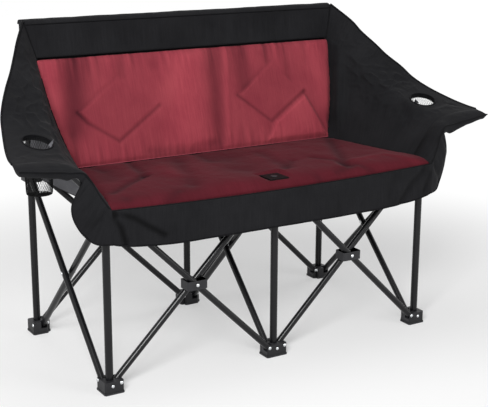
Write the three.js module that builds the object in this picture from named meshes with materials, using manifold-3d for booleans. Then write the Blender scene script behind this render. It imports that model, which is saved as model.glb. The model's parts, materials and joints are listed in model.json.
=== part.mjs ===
// Folding camping loveseat: a steel scissor frame on six columns that carries a padded fabric tub.
// Millimetres. The front faces -Y, the right-hand side as seen from the front is +X, and Z is up.
import * as THREE from 'three';
import { mergeVertices } from 'three/addons/utils/BufferGeometryUtils.js';
import Module from 'manifold-3d';

const wasm = await Module();
wasm.setup();

// Driving dimensions of the frame
const BAY = 535;
const POST_R = 11;
const TUBE_WALL = 1.5;
const ROD_R = 9;
const BRACE_R = 9.5;
const BRACE_WALL = 1.2;
const LANE = 10.5;
const PIVOT_OUT = 26;
const FOOT_PIVOT_Z = 30;
const TOP_PIVOT_Z = 508;
const REAR_POST_TOP = 955;
const FOLD_RISE = 195;
const ROD_OVERLAP = 82;

// Driving dimensions of the moulded feet, top brackets and hubs
const BLOCK_HALF = 23.5;
const ARM_REACH = 34;
const FOOT_TOP = 37;
const FLANGE_H = 5;
const FLANGE_LIP = 1.5;
const SLOT_FLOOR = 18;
const ANCHOR_PIN_Z = 24;
const BRACKET_UNDER = 22;
const BRACKET_OVER = 10;
const BLOCK_CHAMFER = 4;
const HUB_LENGTH = 64;
const HUB_DEPTH = 46;
const HUB_HEIGHT = 26;
const HUB_WALL = 2.2;

// Pins, rivets and the gaps that let them turn
const PIN_R = 2.5;
const PIN_HALF = 15.2;
const RIVET_R = 3;
const RIVET_HEAD_R = 5.5;
const RIVET_HEAD_H = 2.2;
const GAP = 0.3;
const RUNNING_GAP = 0.5;
const OVERRUN = 2;
const BRACE_END = 6;

// The arm rail that carries on past the top bracket of the two long braces
const RAIL_STRAIGHT = 160;
const RAIL_BEND_R = 60;
const RAIL_BEND_DEG = 37;
const RAIL_END = 109;

// Driving dimensions of the fabric tub
const SEAT_Z = 545;
const SEAT_THICK = 24;
const SEAT_EDGE_THICK = 16;
const SEAT_FRONT_Y = -50;
const SEAT_ROLL_Y = 39;
const SEAT_REAR_SETBACK = 155;
const SEAT_REAR_Y = BAY - SEAT_REAR_SETBACK;
const SEAT_FRONT_SPREAD = 3;
const SEAT_FRONT_HALF_W = BAY + SEAT_FRONT_SPREAD;
const SEAT_REAR_INSET = 82;
const SEAT_REAR_HALF_W = BAY - SEAT_REAR_INSET;
const SEAT_EDGE_DROP = 25;
const SEAT_CORNER_DROP = 14;
const FLAP_SETBACK = 40;
const FLAP_REAR_Y = BAY - FLAP_SETBACK;
const FLAP_THICK = 8;
const BACK_PAD_SETBACK = 42;
const BACK_PAD_TOP_Y = BAY - BACK_PAD_SETBACK;
const BAND_HEIGHT = 95;
const BACK_PAD_TOP_Z = REAR_POST_TOP - BAND_HEIGHT;
const BACK_PAD_TOP_INSET = 16;
const BACK_PAD_TOP_HALF_W = BAY - BACK_PAD_TOP_INSET;
const BACK_PAD_THICK = 24;
const BACK_SKIN = 5;
const BAND_SETBACK = 27;
const BAND_TOP_Y = BAY - BAND_SETBACK;
const BAND_THICK = 10;
const HEM_SPREAD = 14;
const HEM_HALF_W = BAY + HEM_SPREAD;
const HEM_HALF_D = 20;
const HEM_H = 17;
const TUFT_DEPTH = 7;
const TUFT_WIDTH = 26;
const DIAMOND_HALF_W = 130;
const DIAMOND_HALF_H = 95;
const DIAMOND_X = 272;
const PAD_CROWN = 7;
const SEAM_GAP = 1.2;
const PANEL_THICK = 20;
const ARM_TIP_OUT = 241;
const ARM_TIP_X = BAY + ARM_TIP_OUT;
const ARM_TIP_Z = 667;
const ARM_FRONT_Y = 25;
const SLEEVE_FRONT_Y = -28;
const SLEEVE_FRONT_RISE = 6;
const SLEEVE_REAR_RISE = 20;
const SLEEVE_CROWN = 4;
const SLEEVE_BASE = 4;
const SLEEVE_BELLY = 10;
const SLEEVE_START = 64;
const SKIRT_THICK = 5;
const SKIRT_Z = 414;
const SKIRT_CORNER_LIFT = 26;
const CUP_OUT = 123;
const CUP_X = BAY + CUP_OUT;
const CUP_Y = 147;
const CUP_R = 41;
const CUP_WALL = 1.6;
const CUP_TOP = 660;
const CUP_DEPTH = 116;
const PATCH_HALF = 31;
const PATCH_Y = 6;
const PATCH_THICK = 5.2;
const PATCH_RECESS_Z = 539.5;
const BUTTON_R = 10;
const BUTTON_PROUD = 1;
const BUTTON_FLOOR = 1.2;
const BUTTON_TRAVEL = 1;

const SKIRT_FOLD = 4;
const POUCH_WIDTH = 84;
const POUCH_DEPTH = 78;
const POUCH_HEIGHT = 104;
const POUCH_SWELL = 9;
const POUCH_LAP = 4;
const POUCH_SEAM = 58;
const TIP_POCKET = 10;
const POCKET_R = 15;
const POCKET_LENGTH = 75;
const POCKET_BASE = REAR_POST_TOP - POCKET_LENGTH;

// Shares and powers that shape the padding
const CROWN_POWER = 6;
const ROLL_POWER = 5;
const SKIRT_LIFT_POWER = 6;
const SEAT_DIAMOND_SHARE = 0.38;
const BACK_DIAMOND_SHARE = 0.49;
const EDGE_THICK_SHARE = 0.5;
const NORMAL_STEP_SHARE = 0.01;
const SLEEVE_BELLY_POWER = 0.5;
const HEM_ROUND_SHARE = 0.35;
const SKIN_LAP_SHARE = 1.01;

// Segment and fold counts
const TUBE_SIDES = 10;
const PIN_SIDES = 6;
const RIVET_SIDES = 8;
const CUP_SIDES = 20;
const SEAT_STEPS = 20;
const ROLL_STEPS = 6;
const BACK_STEPS = 20;
const PANEL_STEPS = 11;
const BEND_STEPS = 4;
const SKIRT_STEPS = 28;
const SKIRT_FOLDS = 7;

// Worked out from the driving dimensions
const RISE = TOP_PIVOT_Z - FOOT_PIVOT_Z;
const SPAN = BAY - 2 * PIVOT_OUT;
const BRACE_LENGTH = Math.hypot(SPAN, RISE);
const OPEN_ANGLE = Math.atan2(RISE, SPAN);
const CROSSING_Z = (TOP_PIVOT_Z + FOOT_PIVOT_Z) / 2;
const BRACKET_BASE = TOP_PIVOT_Z - BRACKET_UNDER;
const BRACKET_TOP = TOP_PIVOT_Z + BRACKET_OVER;
const FRONT_POST_TOP = BRACKET_BASE - GAP;
const SWING_R = Math.hypot(BRACE_END, BRACE_R) + RUNNING_GAP;
const SLOT_START = PIVOT_OUT - SWING_R;
const SLOT_HALF = BRACE_R + RUNNING_GAP;
const ROD_TOP = BRACKET_TOP - BRACKET_UNDER + GAP * 2;
const FOOT_HALF = BLOCK_HALF + FLANGE_LIP;
const FRONT_REACH = SEAT_FRONT_Y - GAP - SKIRT_FOLD - SKIRT_THICK;
const REAR_REACH = BAY + LANE + PIN_HALF;
const ORIGIN_Y = (FRONT_REACH + REAR_REACH) / 2;

// Materials
function finish(color, roughness, metalness) {
  return new THREE.MeshStandardMaterial({ color, roughness, metalness });
}
const paintedSteel = finish(0x26262a, 0.4, 0.3);
const blackNylon = finish(0x2a2a2c, 0.55, 0);
const zincRivet = finish(0xc9cccf, 0.3, 0.9);
const blackCloth = finish(0x232325, 0.9, 0);
const wineCloth = finish(0x7d323c, 0.85, 0);
const blackNet = finish(0x1c1c1e, 0.8, 0);
const softRubber = finish(0x18181a, 0.6, 0);

// Turns a closed three.js geometry into a solid that can be cut and joined.
function solid(geometry) {
  const bare = geometry.clone();
  for (const name of ['normal', 'uv']) bare.deleteAttribute(name);
  const merged = mergeVertices(bare, 1e-4);
  return new wasm.Manifold(new wasm.Mesh({
    numProp: 3,
    vertProperties: new Float32Array(merged.attributes.position.array),
    triVerts: new Uint32Array(merged.index.array),
  }));
}

// Turns a solid back into a three.js geometry.
function geometryOf(body) {
  const mesh = body.getMesh();
  const geometry = new THREE.BufferGeometry();
  geometry.setAttribute('position', new THREE.BufferAttribute(new Float32Array(mesh.vertProperties), 3));
  geometry.setIndex(new THREE.BufferAttribute(new Uint32Array(mesh.triVerts), 1));
  geometry.computeVertexNormals();
  return geometry;
}

function box([x0, x1], [y0, y1], [z0, z1]) {
  const block = new THREE.BoxGeometry(x1 - x0, y1 - y0, z1 - z0);
  return solid(block.translate((x0 + x1) / 2, (y0 + y1) / 2, (z0 + z1) / 2));
}

// A cylinder between two heights on the Z axis, moved to x, y.
function upright(radius, z0, z1, sides, x = 0, y = 0) {
  const drum = new THREE.CylinderGeometry(radius, radius, z1 - z0, sides);
  return solid(drum.rotateX(Math.PI / 2).translate(x, y, (z0 + z1) / 2));
}

// A cylinder along Y, for pins and pin holes.
function crossPin(radius, y0, y1, x, z) {
  const drum = new THREE.CylinderGeometry(radius, radius, y1 - y0, PIN_SIDES);
  return solid(drum.translate(x, (y0 + y1) / 2, z));
}

// A cylinder along X, for straight braces.
function lengthwise(radius, x0, x1) {
  const drum = new THREE.CylinderGeometry(radius, radius, x1 - x0, TUBE_SIDES);
  return solid(drum.rotateZ(Math.PI / 2).translate((x0 + x1) / 2, 0, 0));
}

// Bends a unit box into a closed form: place() gives the point for shares u, v and w of the box.
function formed(nu, nv, nw, place) {
  const geometry = new THREE.BoxGeometry(1, 1, 1, nu, nv, nw);
  const position = geometry.attributes.position;
  for (let i = 0; i < position.count; i += 1) {
    const u = position.getX(i) + 0.5;
    const v = position.getY(i) + 0.5;
    const w = position.getZ(i) + 0.5;
    const point = place(u, v, w);
    position.setXYZ(i, point.x, point.y, point.z);
  }
  return solid(geometry);
}

// The same solid moved, turned or mirrored by a matrix.
function moved(body, matrix) {
  const geometry = geometryOf(body).applyMatrix4(matrix);
  if (matrix.determinant() < 0) geometry.index.array.reverse();
  return solid(geometry);
}

// The same solid on the other side of the YZ plane.
function mirrored(body) {
  return moved(body, new THREE.Matrix4().makeScale(-1, 1, 1));
}

function turnedZ(body, angle) {
  return moved(body, new THREE.Matrix4().makeRotationZ(degrees(angle)));
}

// The same solid turned about Y by radians and then shifted.
function leaned(body, angle, x, y, z) {
  return moved(body, new THREE.Matrix4().makeRotationY(angle).setPosition(x, y, z));
}

function degrees(angle) {
  return THREE.MathUtils.degToRad(angle);
}

function blend(a, b, share) {
  return a + (b - a) * share;
}

const loveseat = new THREE.Group();
loveseat.position.y = -ORIGIN_Y;

function addMesh(name, body, material, parent = loveseat) {
  const mesh = new THREE.Mesh(geometryOf(body), material);
  mesh.name = name;
  parent.add(mesh);
  return mesh;
}

// The six columns. arms are the directions, in degrees from +X, in which braces leave the column.
const columns = {
  front_left: { x: -BAY, y: 0, arms: { 0: 'front_centre', 90: 'rear_left' } },
  front_centre: { x: 0, y: 0, arms: { 0: 'front_right', 90: 'rear_centre', 180: 'front_left' } },
  front_right: { x: BAY, y: 0, arms: { 90: 'rear_right', 180: 'front_centre' } },
  rear_left: { x: -BAY, y: BAY, arms: { 0: 'rear_centre', 270: 'front_left' } },
  rear_centre: { x: 0, y: BAY, arms: { 0: 'rear_right', 180: 'rear_left', 270: 'front_centre' } },
  rear_right: { x: BAY, y: BAY, arms: { 180: 'rear_centre', 270: 'front_right' } },
};

// A moulding: a square core with an arm for each brace, all corners chamfered.
function moulding(arms, half, reach, z0, z1) {
  const points = [];
  for (const angle of [0, 90, 180, 270]) {
    const length = arms.includes(angle) ? reach : half;
    const next = arms.includes((angle + 90) % 360) ? reach : half;
    const side = [[length, BLOCK_CHAMFER - half], [length, half - BLOCK_CHAMFER]];
    if (length > half) side.push([length - BLOCK_CHAMFER, half]);
    if (length > half && next > half) side.push([half, half]);
    if (next > half) side.push([half, next - BLOCK_CHAMFER]);
    const turn = degrees(angle);
    for (const [x, y] of side) points.push(new THREE.Vector2(x, y).rotateAround(new THREE.Vector2(), turn));
  }
  const block = new THREE.ExtrudeGeometry(new THREE.Shape(points), { depth: z1 - z0, bevelEnabled: false });
  return solid(block.translate(0, 0, z0));
}

// The slot in which one brace end swings, with the hole for its pin.
function braceSlot(angle, lane, pivotZ, z0, z1) {
  const side = Math.sign(lane);
  const ends = [side * (BLOCK_HALF + OVERRUN), lane - side * (PIN_HALF + GAP)].sort((a, b) => a - b);
  const slot = box([SLOT_START, ARM_REACH + OVERRUN], [lane - SLOT_HALF, lane + SLOT_HALF], [z0, z1]);
  return turnedZ(slot.add(crossPin(PIN_R + RUNNING_GAP, ...ends, PIVOT_OUT, pivotZ)), angle);
}

// The way from one end of a pin that anchors a post in its foot to the other, front end first.
function anchorSpan(row, extra) {
  return [-row * (BLOCK_HALF - GAP + extra), row * (POST_R + OVERRUN + extra)].sort((a, b) => a - b);
}

function footBody(arms, row) {
  let body = moulding(arms, BLOCK_HALF, ARM_REACH, 0, FOOT_TOP);
  body = body.add(moulding(arms, FOOT_HALF, ARM_REACH + FLANGE_LIP, 0, FLANGE_H));
  body = body.subtract(upright(POST_R + GAP, FLANGE_H, FOOT_TOP + OVERRUN, TUBE_SIDES));
  body = body.subtract(crossPin(PIN_R + RUNNING_GAP, ...anchorSpan(row, OVERRUN), 0, ANCHOR_PIN_Z));
  for (const angle of arms) {
    body = body.subtract(braceSlot(angle, LANE, FOOT_PIVOT_Z, SLOT_FLOOR, FOOT_TOP + OVERRUN));
  }
  return body;
}

function postBody(top, row) {
  const outside = upright(POST_R, FLANGE_H + GAP, top, TUBE_SIDES);
  const inside = upright(POST_R - TUBE_WALL, FLANGE_H - OVERRUN, top + OVERRUN, TUBE_SIDES);
  return outside.subtract(inside).add(crossPin(PIN_R, ...anchorSpan(row, 0), 0, ANCHOR_PIN_Z));
}

// A top bracket. On the rear posts it slides; on the front it is fixed to the rod inside the post.
function bracketBody(arms, slides, railAngle) {
  let body = moulding(arms, BLOCK_HALF, ARM_REACH, BRACKET_BASE, BRACKET_TOP);
  for (const angle of arms) {
    const slot = braceSlot(angle, -LANE, TOP_PIVOT_Z, BRACKET_BASE - OVERRUN, BRACKET_TOP + OVERRUN);
    body = body.subtract(slot);
  }
  if (slides) {
    const bore = upright(POST_R + RUNNING_GAP, BRACKET_BASE - OVERRUN, BRACKET_TOP + OVERRUN, TUBE_SIDES);
    return body.subtract(bore);
  }
  body = body.subtract(upright(ROD_R + GAP, BRACKET_BASE - OVERRUN, ROD_TOP + GAP, TUBE_SIDES));
  if (railAngle !== undefined) {
    const rest = (PIVOT_OUT - SLOT_START) * Math.tan(OPEN_ANGLE) - BRACE_R / Math.cos(OPEN_ANGLE);
    const notchZ = TOP_PIVOT_Z + rest - RUNNING_GAP;
    const notch = box([0, SLOT_START + OVERRUN], [-LANE - SLOT_HALF, -LANE + SLOT_HALF],
      [notchZ, BRACKET_TOP + OVERRUN]);
    body = body.subtract(turnedZ(notch, railAngle));
  }
  return body;
}

// Centre line of a long brace and the arm rail it ends in, in the brace's own XZ plane. It is
// measured along from the foot pivot; extra lengthens both of its ends.
const BEND_START = BRACE_LENGTH + RAIL_STRAIGHT;
const BEND_END = BEND_START + RAIL_BEND_R * degrees(RAIL_BEND_DEG);
const RAIL_TIP = BEND_END + RAIL_END;
class RailLine extends THREE.Curve {
  constructor(extra) {
    super();
    const steps = Array.from({ length: BEND_STEPS + 1 }, (_, i) => i / BEND_STEPS);
    const bends = steps.map((share) => blend(BEND_START, BEND_END, share));
    this.stations = [-BRACE_END - extra, ...bends, RAIL_TIP + extra];
  }

  getUtoTmapping(share) {
    return share;
  }

  alongAt(share) {
    const place = share * (this.stations.length - 1);
    const index = Math.min(Math.floor(place), this.stations.length - 2);
    return blend(this.stations[index], this.stations[index + 1], place - index);
  }

  turnAt(along) {
    return (Math.min(Math.max(along, BEND_START), BEND_END) - BEND_START) / RAIL_BEND_R;
  }

  placeAt(along, target = new THREE.Vector3()) {
    const turn = this.turnAt(along);
    const after = Math.max(along - BEND_END, 0);
    const x = Math.min(along, BEND_START) + RAIL_BEND_R * Math.sin(turn) + after * Math.cos(turn);
    const z = -RAIL_BEND_R * (1 - Math.cos(turn)) - after * Math.sin(turn);
    return target.set(x, 0, z);
  }

  getPoint(share, target) {
    return this.placeAt(this.alongAt(share), target);
  }

  getTangent(share, target = new THREE.Vector3()) {
    const turn = this.turnAt(this.alongAt(share));
    return target.set(Math.cos(turn), 0, -Math.sin(turn));
  }
}
const railLine = new RailLine(0);

// A whole long brace as a solid bar of the given radius, or the bore through it.
function longBar(radius, extra) {
  const section = new THREE.Shape();
  section.absarc(0, 0, radius, 0, Math.PI * 2);
  const path = new RailLine(extra);
  const steps = path.stations.length - 1;
  const settings = { steps, curveSegments: TUBE_SIDES / 2, extrudePath: path };
  return solid(new THREE.ExtrudeGeometry(section, settings));
}

function braceBody(long) {
  const bore = BRACE_R - BRACE_WALL;
  const straightEnd = BRACE_LENGTH + BRACE_END;
  let body = long
    ? longBar(BRACE_R, 0).subtract(longBar(bore, OVERRUN))
    : lengthwise(BRACE_R, -BRACE_END, straightEnd)
      .subtract(lengthwise(bore, -BRACE_END - OVERRUN, straightEnd + OVERRUN));
  for (const x of [0, BRACE_LENGTH]) body = body.add(crossPin(PIN_R, -PIN_HALF, PIN_HALF, x, 0));
  const reach = BRACE_R + OVERRUN;
  return body.subtract(crossPin(RIVET_R + RUNNING_GAP, -reach, reach, BRACE_LENGTH / 2, 0));
}

const shortBrace = braceBody(false);
const longBrace = braceBody(true);
const railSide = { front_left: 0, front_right: 180 };
for (const [name, column] of Object.entries(columns)) {
  const group = new THREE.Group();
  group.position.set(column.x, column.y, 0);
  loveseat.add(group);
  const arms = Object.keys(column.arms).map(Number);
  const isFront = column.y === 0;
  const row = isFront ? 1 : -1;
  addMesh(`foot_${name}`, footBody(arms, row), blackNylon, group);
  addMesh(`post_${name}`, postBody(isFront ? FRONT_POST_TOP : REAR_POST_TOP, row), paintedSteel, group);
  addMesh(`bracket_${name}`, bracketBody(arms, !isFront, railSide[name]), blackNylon, group);
  if (isFront) {
    const base = FRONT_POST_TOP - FOLD_RISE - ROD_OVERLAP;
    addMesh(`inner_rod_${name}`, upright(ROD_R, base, ROD_TOP, TUBE_SIDES), paintedSteel, group);
  }
  for (const [angle, other] of Object.entries(column.arms)) {
    const arm = new THREE.Group();
    arm.rotation.z = degrees(Number(angle));
    group.add(arm);
    const isLong = name === 'front_centre' && other !== 'rear_centre';
    const brace = addMesh(`brace_${name}_to_${other}`, isLong ? longBrace : shortBrace, paintedSteel, arm);
    brace.position.set(PIVOT_OUT, LANE, FOOT_PIVOT_Z);
    brace.rotation.y = -OPEN_ANGLE;
  }
}

// A crossing rivet with two domed heads, along Y.
function rivetBody(halfGrip) {
  const half = halfGrip + GAP;
  const profile = [
    new THREE.Vector2(0, -half - RIVET_HEAD_H),
    new THREE.Vector2(RIVET_HEAD_R / 2, -half - RIVET_HEAD_H),
    new THREE.Vector2(RIVET_HEAD_R, -half),
    new THREE.Vector2(RIVET_R, -half),
    new THREE.Vector2(RIVET_R, half),
    new THREE.Vector2(RIVET_HEAD_R, half),
    new THREE.Vector2(RIVET_HEAD_R / 2, half + RIVET_HEAD_H),
    new THREE.Vector2(0, half + RIVET_HEAD_H),
  ];
  return solid(new THREE.LatheGeometry(profile, RIVET_SIDES));
}

// The moulded ring round a front or rear crossing. Its end walls stop the braces at the open angle.
function hubBody() {
  const halfX = HUB_LENGTH / 2;
  const halfY = HUB_DEPTH / 2;
  const height = [-HUB_HEIGHT / 2, HUB_HEIGHT / 2];
  const outline = new THREE.Shape([
    new THREE.Vector2(-halfX + BLOCK_CHAMFER, -halfY),
    new THREE.Vector2(halfX - BLOCK_CHAMFER, -halfY),
    new THREE.Vector2(halfX, -halfY + BLOCK_CHAMFER),
    new THREE.Vector2(halfX, halfY - BLOCK_CHAMFER),
    new THREE.Vector2(halfX - BLOCK_CHAMFER, halfY),
    new THREE.Vector2(-halfX + BLOCK_CHAMFER, halfY),
    new THREE.Vector2(-halfX, halfY - BLOCK_CHAMFER),
    new THREE.Vector2(-halfX, -halfY + BLOCK_CHAMFER),
  ]);
  const ring = new THREE.ExtrudeGeometry(outline, { depth: HUB_HEIGHT, bevelEnabled: false });
  const inX = halfX - HUB_WALL;
  const inY = halfY - HUB_WALL;
  return solid(ring.translate(0, 0, height[0]))
    .subtract(box([-inX, inX], [-inY, inY], [height[0] - OVERRUN, height[1] + OVERRUN]))
    .subtract(crossPin(RIVET_R + RUNNING_GAP, -halfY - OVERRUN, halfY + OVERRUN, 0, 0));
}

const crossings = [
  ['front_left', 'front_centre'], ['front_centre', 'front_right'],
  ['rear_left', 'rear_centre'], ['rear_centre', 'rear_right'],
  ['front_left', 'rear_left'], ['front_centre', 'rear_centre'], ['front_right', 'rear_right'],
];
for (const [from, to] of crossings) {
  const start = columns[from];
  const end = columns[to];
  const hasHub = start.y === end.y;
  const group = new THREE.Group();
  group.position.set((start.x + end.x) / 2, (start.y + end.y) / 2, CROSSING_Z);
  group.rotation.z = hasHub ? 0 : Math.PI / 2;
  loveseat.add(group);
  const grip = hasHub ? HUB_DEPTH / 2 : LANE + BRACE_R;
  addMesh(`rivet_${from}_${to}`, rivetBody(grip), zincRivet, group);
  if (hasHub) addMesh(`hub_${from}_${to}`, hubBody(), blackNylon, group);
}

// A smooth hill of the given half width round zero.
function hill(distance, halfWidth) {
  return Math.exp(-((distance / halfWidth) ** 2));
}

// How deep a stitched diamond draws a pad in, across and along from the pad's middle.
function diamondDip(x, along, middle) {
  const acrossShare = Math.abs(Math.abs(x) - DIAMOND_X) / DIAMOND_HALF_W;
  const alongShare = Math.abs(along - middle) / DIAMOND_HALF_H;
  const offset = (acrossShare + alongShare - 1) * Math.min(DIAMOND_HALF_W, DIAMOND_HALF_H);
  return TUFT_DEPTH * hill(offset, TUFT_WIDTH);
}

// Crown of a pad: full in the middle, drawn in at its four sides.
function crownShare(u, v) {
  const side = (share) => 1 - Math.abs(2 * share - 1) ** CROWN_POWER;
  return side(u) * side(v);
}

// A point on a run of straight stretches through the given points.
function onRun(points, share) {
  const place = share * (points.length - 1);
  const index = Math.min(Math.floor(place), points.length - 2);
  return points[index].clone().lerp(points[index + 1], place - index);
}

function seatHalfWidth(y) {
  const share = (y - SEAT_FRONT_Y) / (SEAT_REAR_Y - SEAT_FRONT_Y);
  return blend(SEAT_FRONT_HALF_W, SEAT_REAR_HALF_W, share);
}

// How far the front edge of the seat hangs below its flat.
function edgeDrop(x) {
  return blend(SEAT_EDGE_DROP, SEAT_CORNER_DROP, (x / SEAT_FRONT_HALF_W) ** 2);
}

function seatFrontRoll() {
  const roll = formed(SEAT_STEPS, ROLL_STEPS, 1, (u, v, w) => {
    const y = blend(SEAT_FRONT_Y, SEAT_ROLL_Y - GAP, v);
    const x = blend(-1, 1, u) * seatHalfWidth(y);
    const top = SEAT_Z - edgeDrop(x) * (1 - v) ** ROLL_POWER;
    return new THREE.Vector3(x, y, top - blend(SEAT_EDGE_THICK, SEAT_THICK, v) * (1 - w));
  });
  const recess = [-PATCH_HALF - GAP, PATCH_HALF + GAP];
  const cut = roll.subtract(box(recess, [PATCH_Y + recess[0], PATCH_Y + recess[1]],
    [PATCH_RECESS_Z, SEAT_Z + SEAT_THICK]));
  const right = placedRail(BRACE_R + RUNNING_GAP * 2, LANE);
  const left = mirrored(placedRail(BRACE_R + RUNNING_GAP * 2, -LANE));
  return cut.subtract(right).subtract(left);
}

function seatPad(y0, y1, steps) {
  return formed(SEAT_STEPS, steps, 1, (u, v, w) => {
    const y = blend(y0, y1, v);
    const x = blend(-1, 1, u) * seatHalfWidth(y);
    const share = (y - SEAT_ROLL_Y) / (SEAT_REAR_Y - SEAT_ROLL_Y);
    const middle = blend(SEAT_ROLL_Y, SEAT_REAR_Y, SEAT_DIAMOND_SHARE);
    const lift = PAD_CROWN * crownShare(u, share) - diamondDip(x, y, middle) * crownShare(u, share);
    return new THREE.Vector3(x, y, w === 0 ? SEAT_Z - SEAT_THICK : SEAT_Z + lift);
  });
}

// The bent rail of the right-hand long brace where it stands in the frame, at the given lane.
function placedRail(radius, lane) {
  return leaned(longBar(radius, 0), -OPEN_ANGLE, PIVOT_OUT, lane, FOOT_PIVOT_Z);
}

// A point beside the rail's centre line: along it, off it and across the frame.
function besideRail(along, off, y) {
  const turn = railLine.turnAt(along);
  const point = railLine.placeAt(along);
  point.add(new THREE.Vector3(off * Math.sin(turn), 0, off * Math.cos(turn)));
  point.applyAxisAngle(new THREE.Vector3(0, 1, 0), -OPEN_ANGLE);
  return point.add(new THREE.Vector3(PIVOT_OUT, y, FOOT_PIVOT_Z));
}

// The padded band that hides the rail along the front of an arm, on the right-hand side.
function armSleeve(lane) {
  const start = BRACE_LENGTH + SLEEVE_START;
  const end = RAIL_TIP + TIP_POCKET;
  const cover = formed(8, 3, 2, (u, v, w) => {
    const bulge = Math.sin(Math.PI * v);
    const top = blend(SLEEVE_FRONT_RISE, SLEEVE_REAR_RISE, v) + SLEEVE_CROWN * bulge;
    const low = -SLEEVE_BASE - SLEEVE_BELLY * Math.abs(bulge) ** SLEEVE_BELLY_POWER;
    const y = blend(SLEEVE_FRONT_Y, ARM_FRONT_Y - GAP, v);
    return besideRail(blend(start, end, u), blend(low, top, w), y);
  });
  return cover.subtract(placedRail(BRACE_R + RUNNING_GAP, lane));
}

// Corners and edges of the right-hand arm panel's inner face, rear to front and seat to outer edge.
const panelRearLow = new THREE.Vector3(SEAT_REAR_HALF_W + SEAM_GAP, SEAT_REAR_Y, SEAT_Z + SEAM_GAP);
const panelRearMid = new THREE.Vector3(BACK_PAD_TOP_HALF_W + SEAM_GAP, BACK_PAD_TOP_Y, BACK_PAD_TOP_Z);
const panelRearTop = new THREE.Vector3(HEM_HALF_W + SEAM_GAP, BAND_TOP_Y - SEAM_GAP * 4, REAR_POST_TOP);
const panelFrontX = seatHalfWidth(ARM_FRONT_Y) + SEAM_GAP;
const panelFrontLow = new THREE.Vector3(panelFrontX, ARM_FRONT_Y, SEAT_Z + SEAM_GAP);
const panelTip = new THREE.Vector3(ARM_TIP_X, ARM_FRONT_Y, ARM_TIP_Z);

// A curve between two corners, through points given as shares of the way in x, y and z.
function shareCurve(from, to, shares) {
  const points = shares.map(([x, y, z]) => new THREE.Vector3(
    blend(from.x, to.x, x), blend(from.y, to.y, y), blend(from.z, to.z, z)));
  return new THREE.CatmullRomCurve3([from, ...points, to]);
}
const outerEdgeShares = [
  [0.16, 0.1, 0.14], [0.39, 0.26, 0.39], [0.62, 0.42, 0.63], [0.8, 0.62, 0.84], [0.91, 0.79, 0.93],
];
const frontEdgeShares = [[0.14, 0, 0.36], [0.32, 0, 0.75], [0.48, 0, 0.92], [0.7, 0, 0.98]];
const outerEdge = shareCurve(panelRearTop, panelTip, outerEdgeShares);
const frontEdge = shareCurve(panelFrontLow, panelTip, frontEdgeShares);

function panelPoint(u, v) {
  const low = panelRearLow.clone().lerp(panelFrontLow, u);
  const high = outerEdge.getPoint(u);
  const rear = onRun([panelRearLow, panelRearMid, panelRearTop], v);
  const front = frontEdge.getPoint(v);
  const lowSide = panelRearLow.clone().lerp(panelFrontLow, u);
  const highSide = panelRearTop.clone().lerp(panelTip, u);
  const corners = lowSide.lerp(highSide, v);
  return low.lerp(high, v).add(rear.lerp(front, u)).sub(corners);
}

// The outward normal of the arm panel's inner face.
function panelNormal(u, v) {
  const step = NORMAL_STEP_SHARE;
  const near = (share) => Math.min(Math.max(share, step), 1 - step);
  const along = panelPoint(near(u) + step, near(v)).sub(panelPoint(near(u) - step, near(v)));
  const up = panelPoint(near(u), near(v) + step).sub(panelPoint(near(u), near(v) - step));
  return up.cross(along).normalize();
}

function armPanel() {
  const panel = formed(PANEL_STEPS, PANEL_STEPS, 1, (u, v, w) => {
    const full = blend(EDGE_THICK_SHARE, 1, Math.sqrt(crownShare(u, v)));
    return panelPoint(u, v).addScaledVector(panelNormal(u, v), (1 - w) * PANEL_THICK * full);
  });
  return panel.subtract(upright(CUP_R + GAP, CUP_TOP - CUP_DEPTH, ARM_TIP_Z * 2, CUP_SIDES, CUP_X, CUP_Y));
}

// The net pocket that hangs in the round hole of an arm.
function cupPocket() {
  const floor = CUP_TOP - CUP_DEPTH;
  const outside = upright(CUP_R, floor, CUP_TOP, CUP_SIDES, CUP_X, CUP_Y);
  const inside = upright(CUP_R - CUP_WALL, floor + CUP_WALL, CUP_TOP + OVERRUN, CUP_SIDES, CUP_X, CUP_Y);
  return outside.subtract(inside);
}

// A place on the leaning plane of the back: u goes across it, share from the seat seam up the pad.
function backPlane(u, share) {
  const x = blend(-1, 1, u) * blend(SEAT_REAR_HALF_W, BACK_PAD_TOP_HALF_W, share);
  const z = blend(SEAT_Z + SEAM_GAP * 2, BACK_PAD_TOP_Z, share);
  return new THREE.Vector3(x, blend(SEAT_REAR_Y, BACK_PAD_TOP_Y, share), z);
}

function backPad() {
  const height = Math.hypot(BACK_PAD_TOP_Z - SEAT_Z, BACK_PAD_TOP_Y - SEAT_REAR_Y);
  return formed(BACK_STEPS, BACK_STEPS / 2, 1, (u, v, w) => {
    const place = backPlane(u, v);
    const dip = diamondDip(place.x, v * height, BACK_DIAMOND_SHARE * height);
    place.y += w === 0 ? BACK_PAD_THICK - PAD_CROWN : (dip - PAD_CROWN) * crownShare(u, v);
    return place;
  });
}

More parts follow.
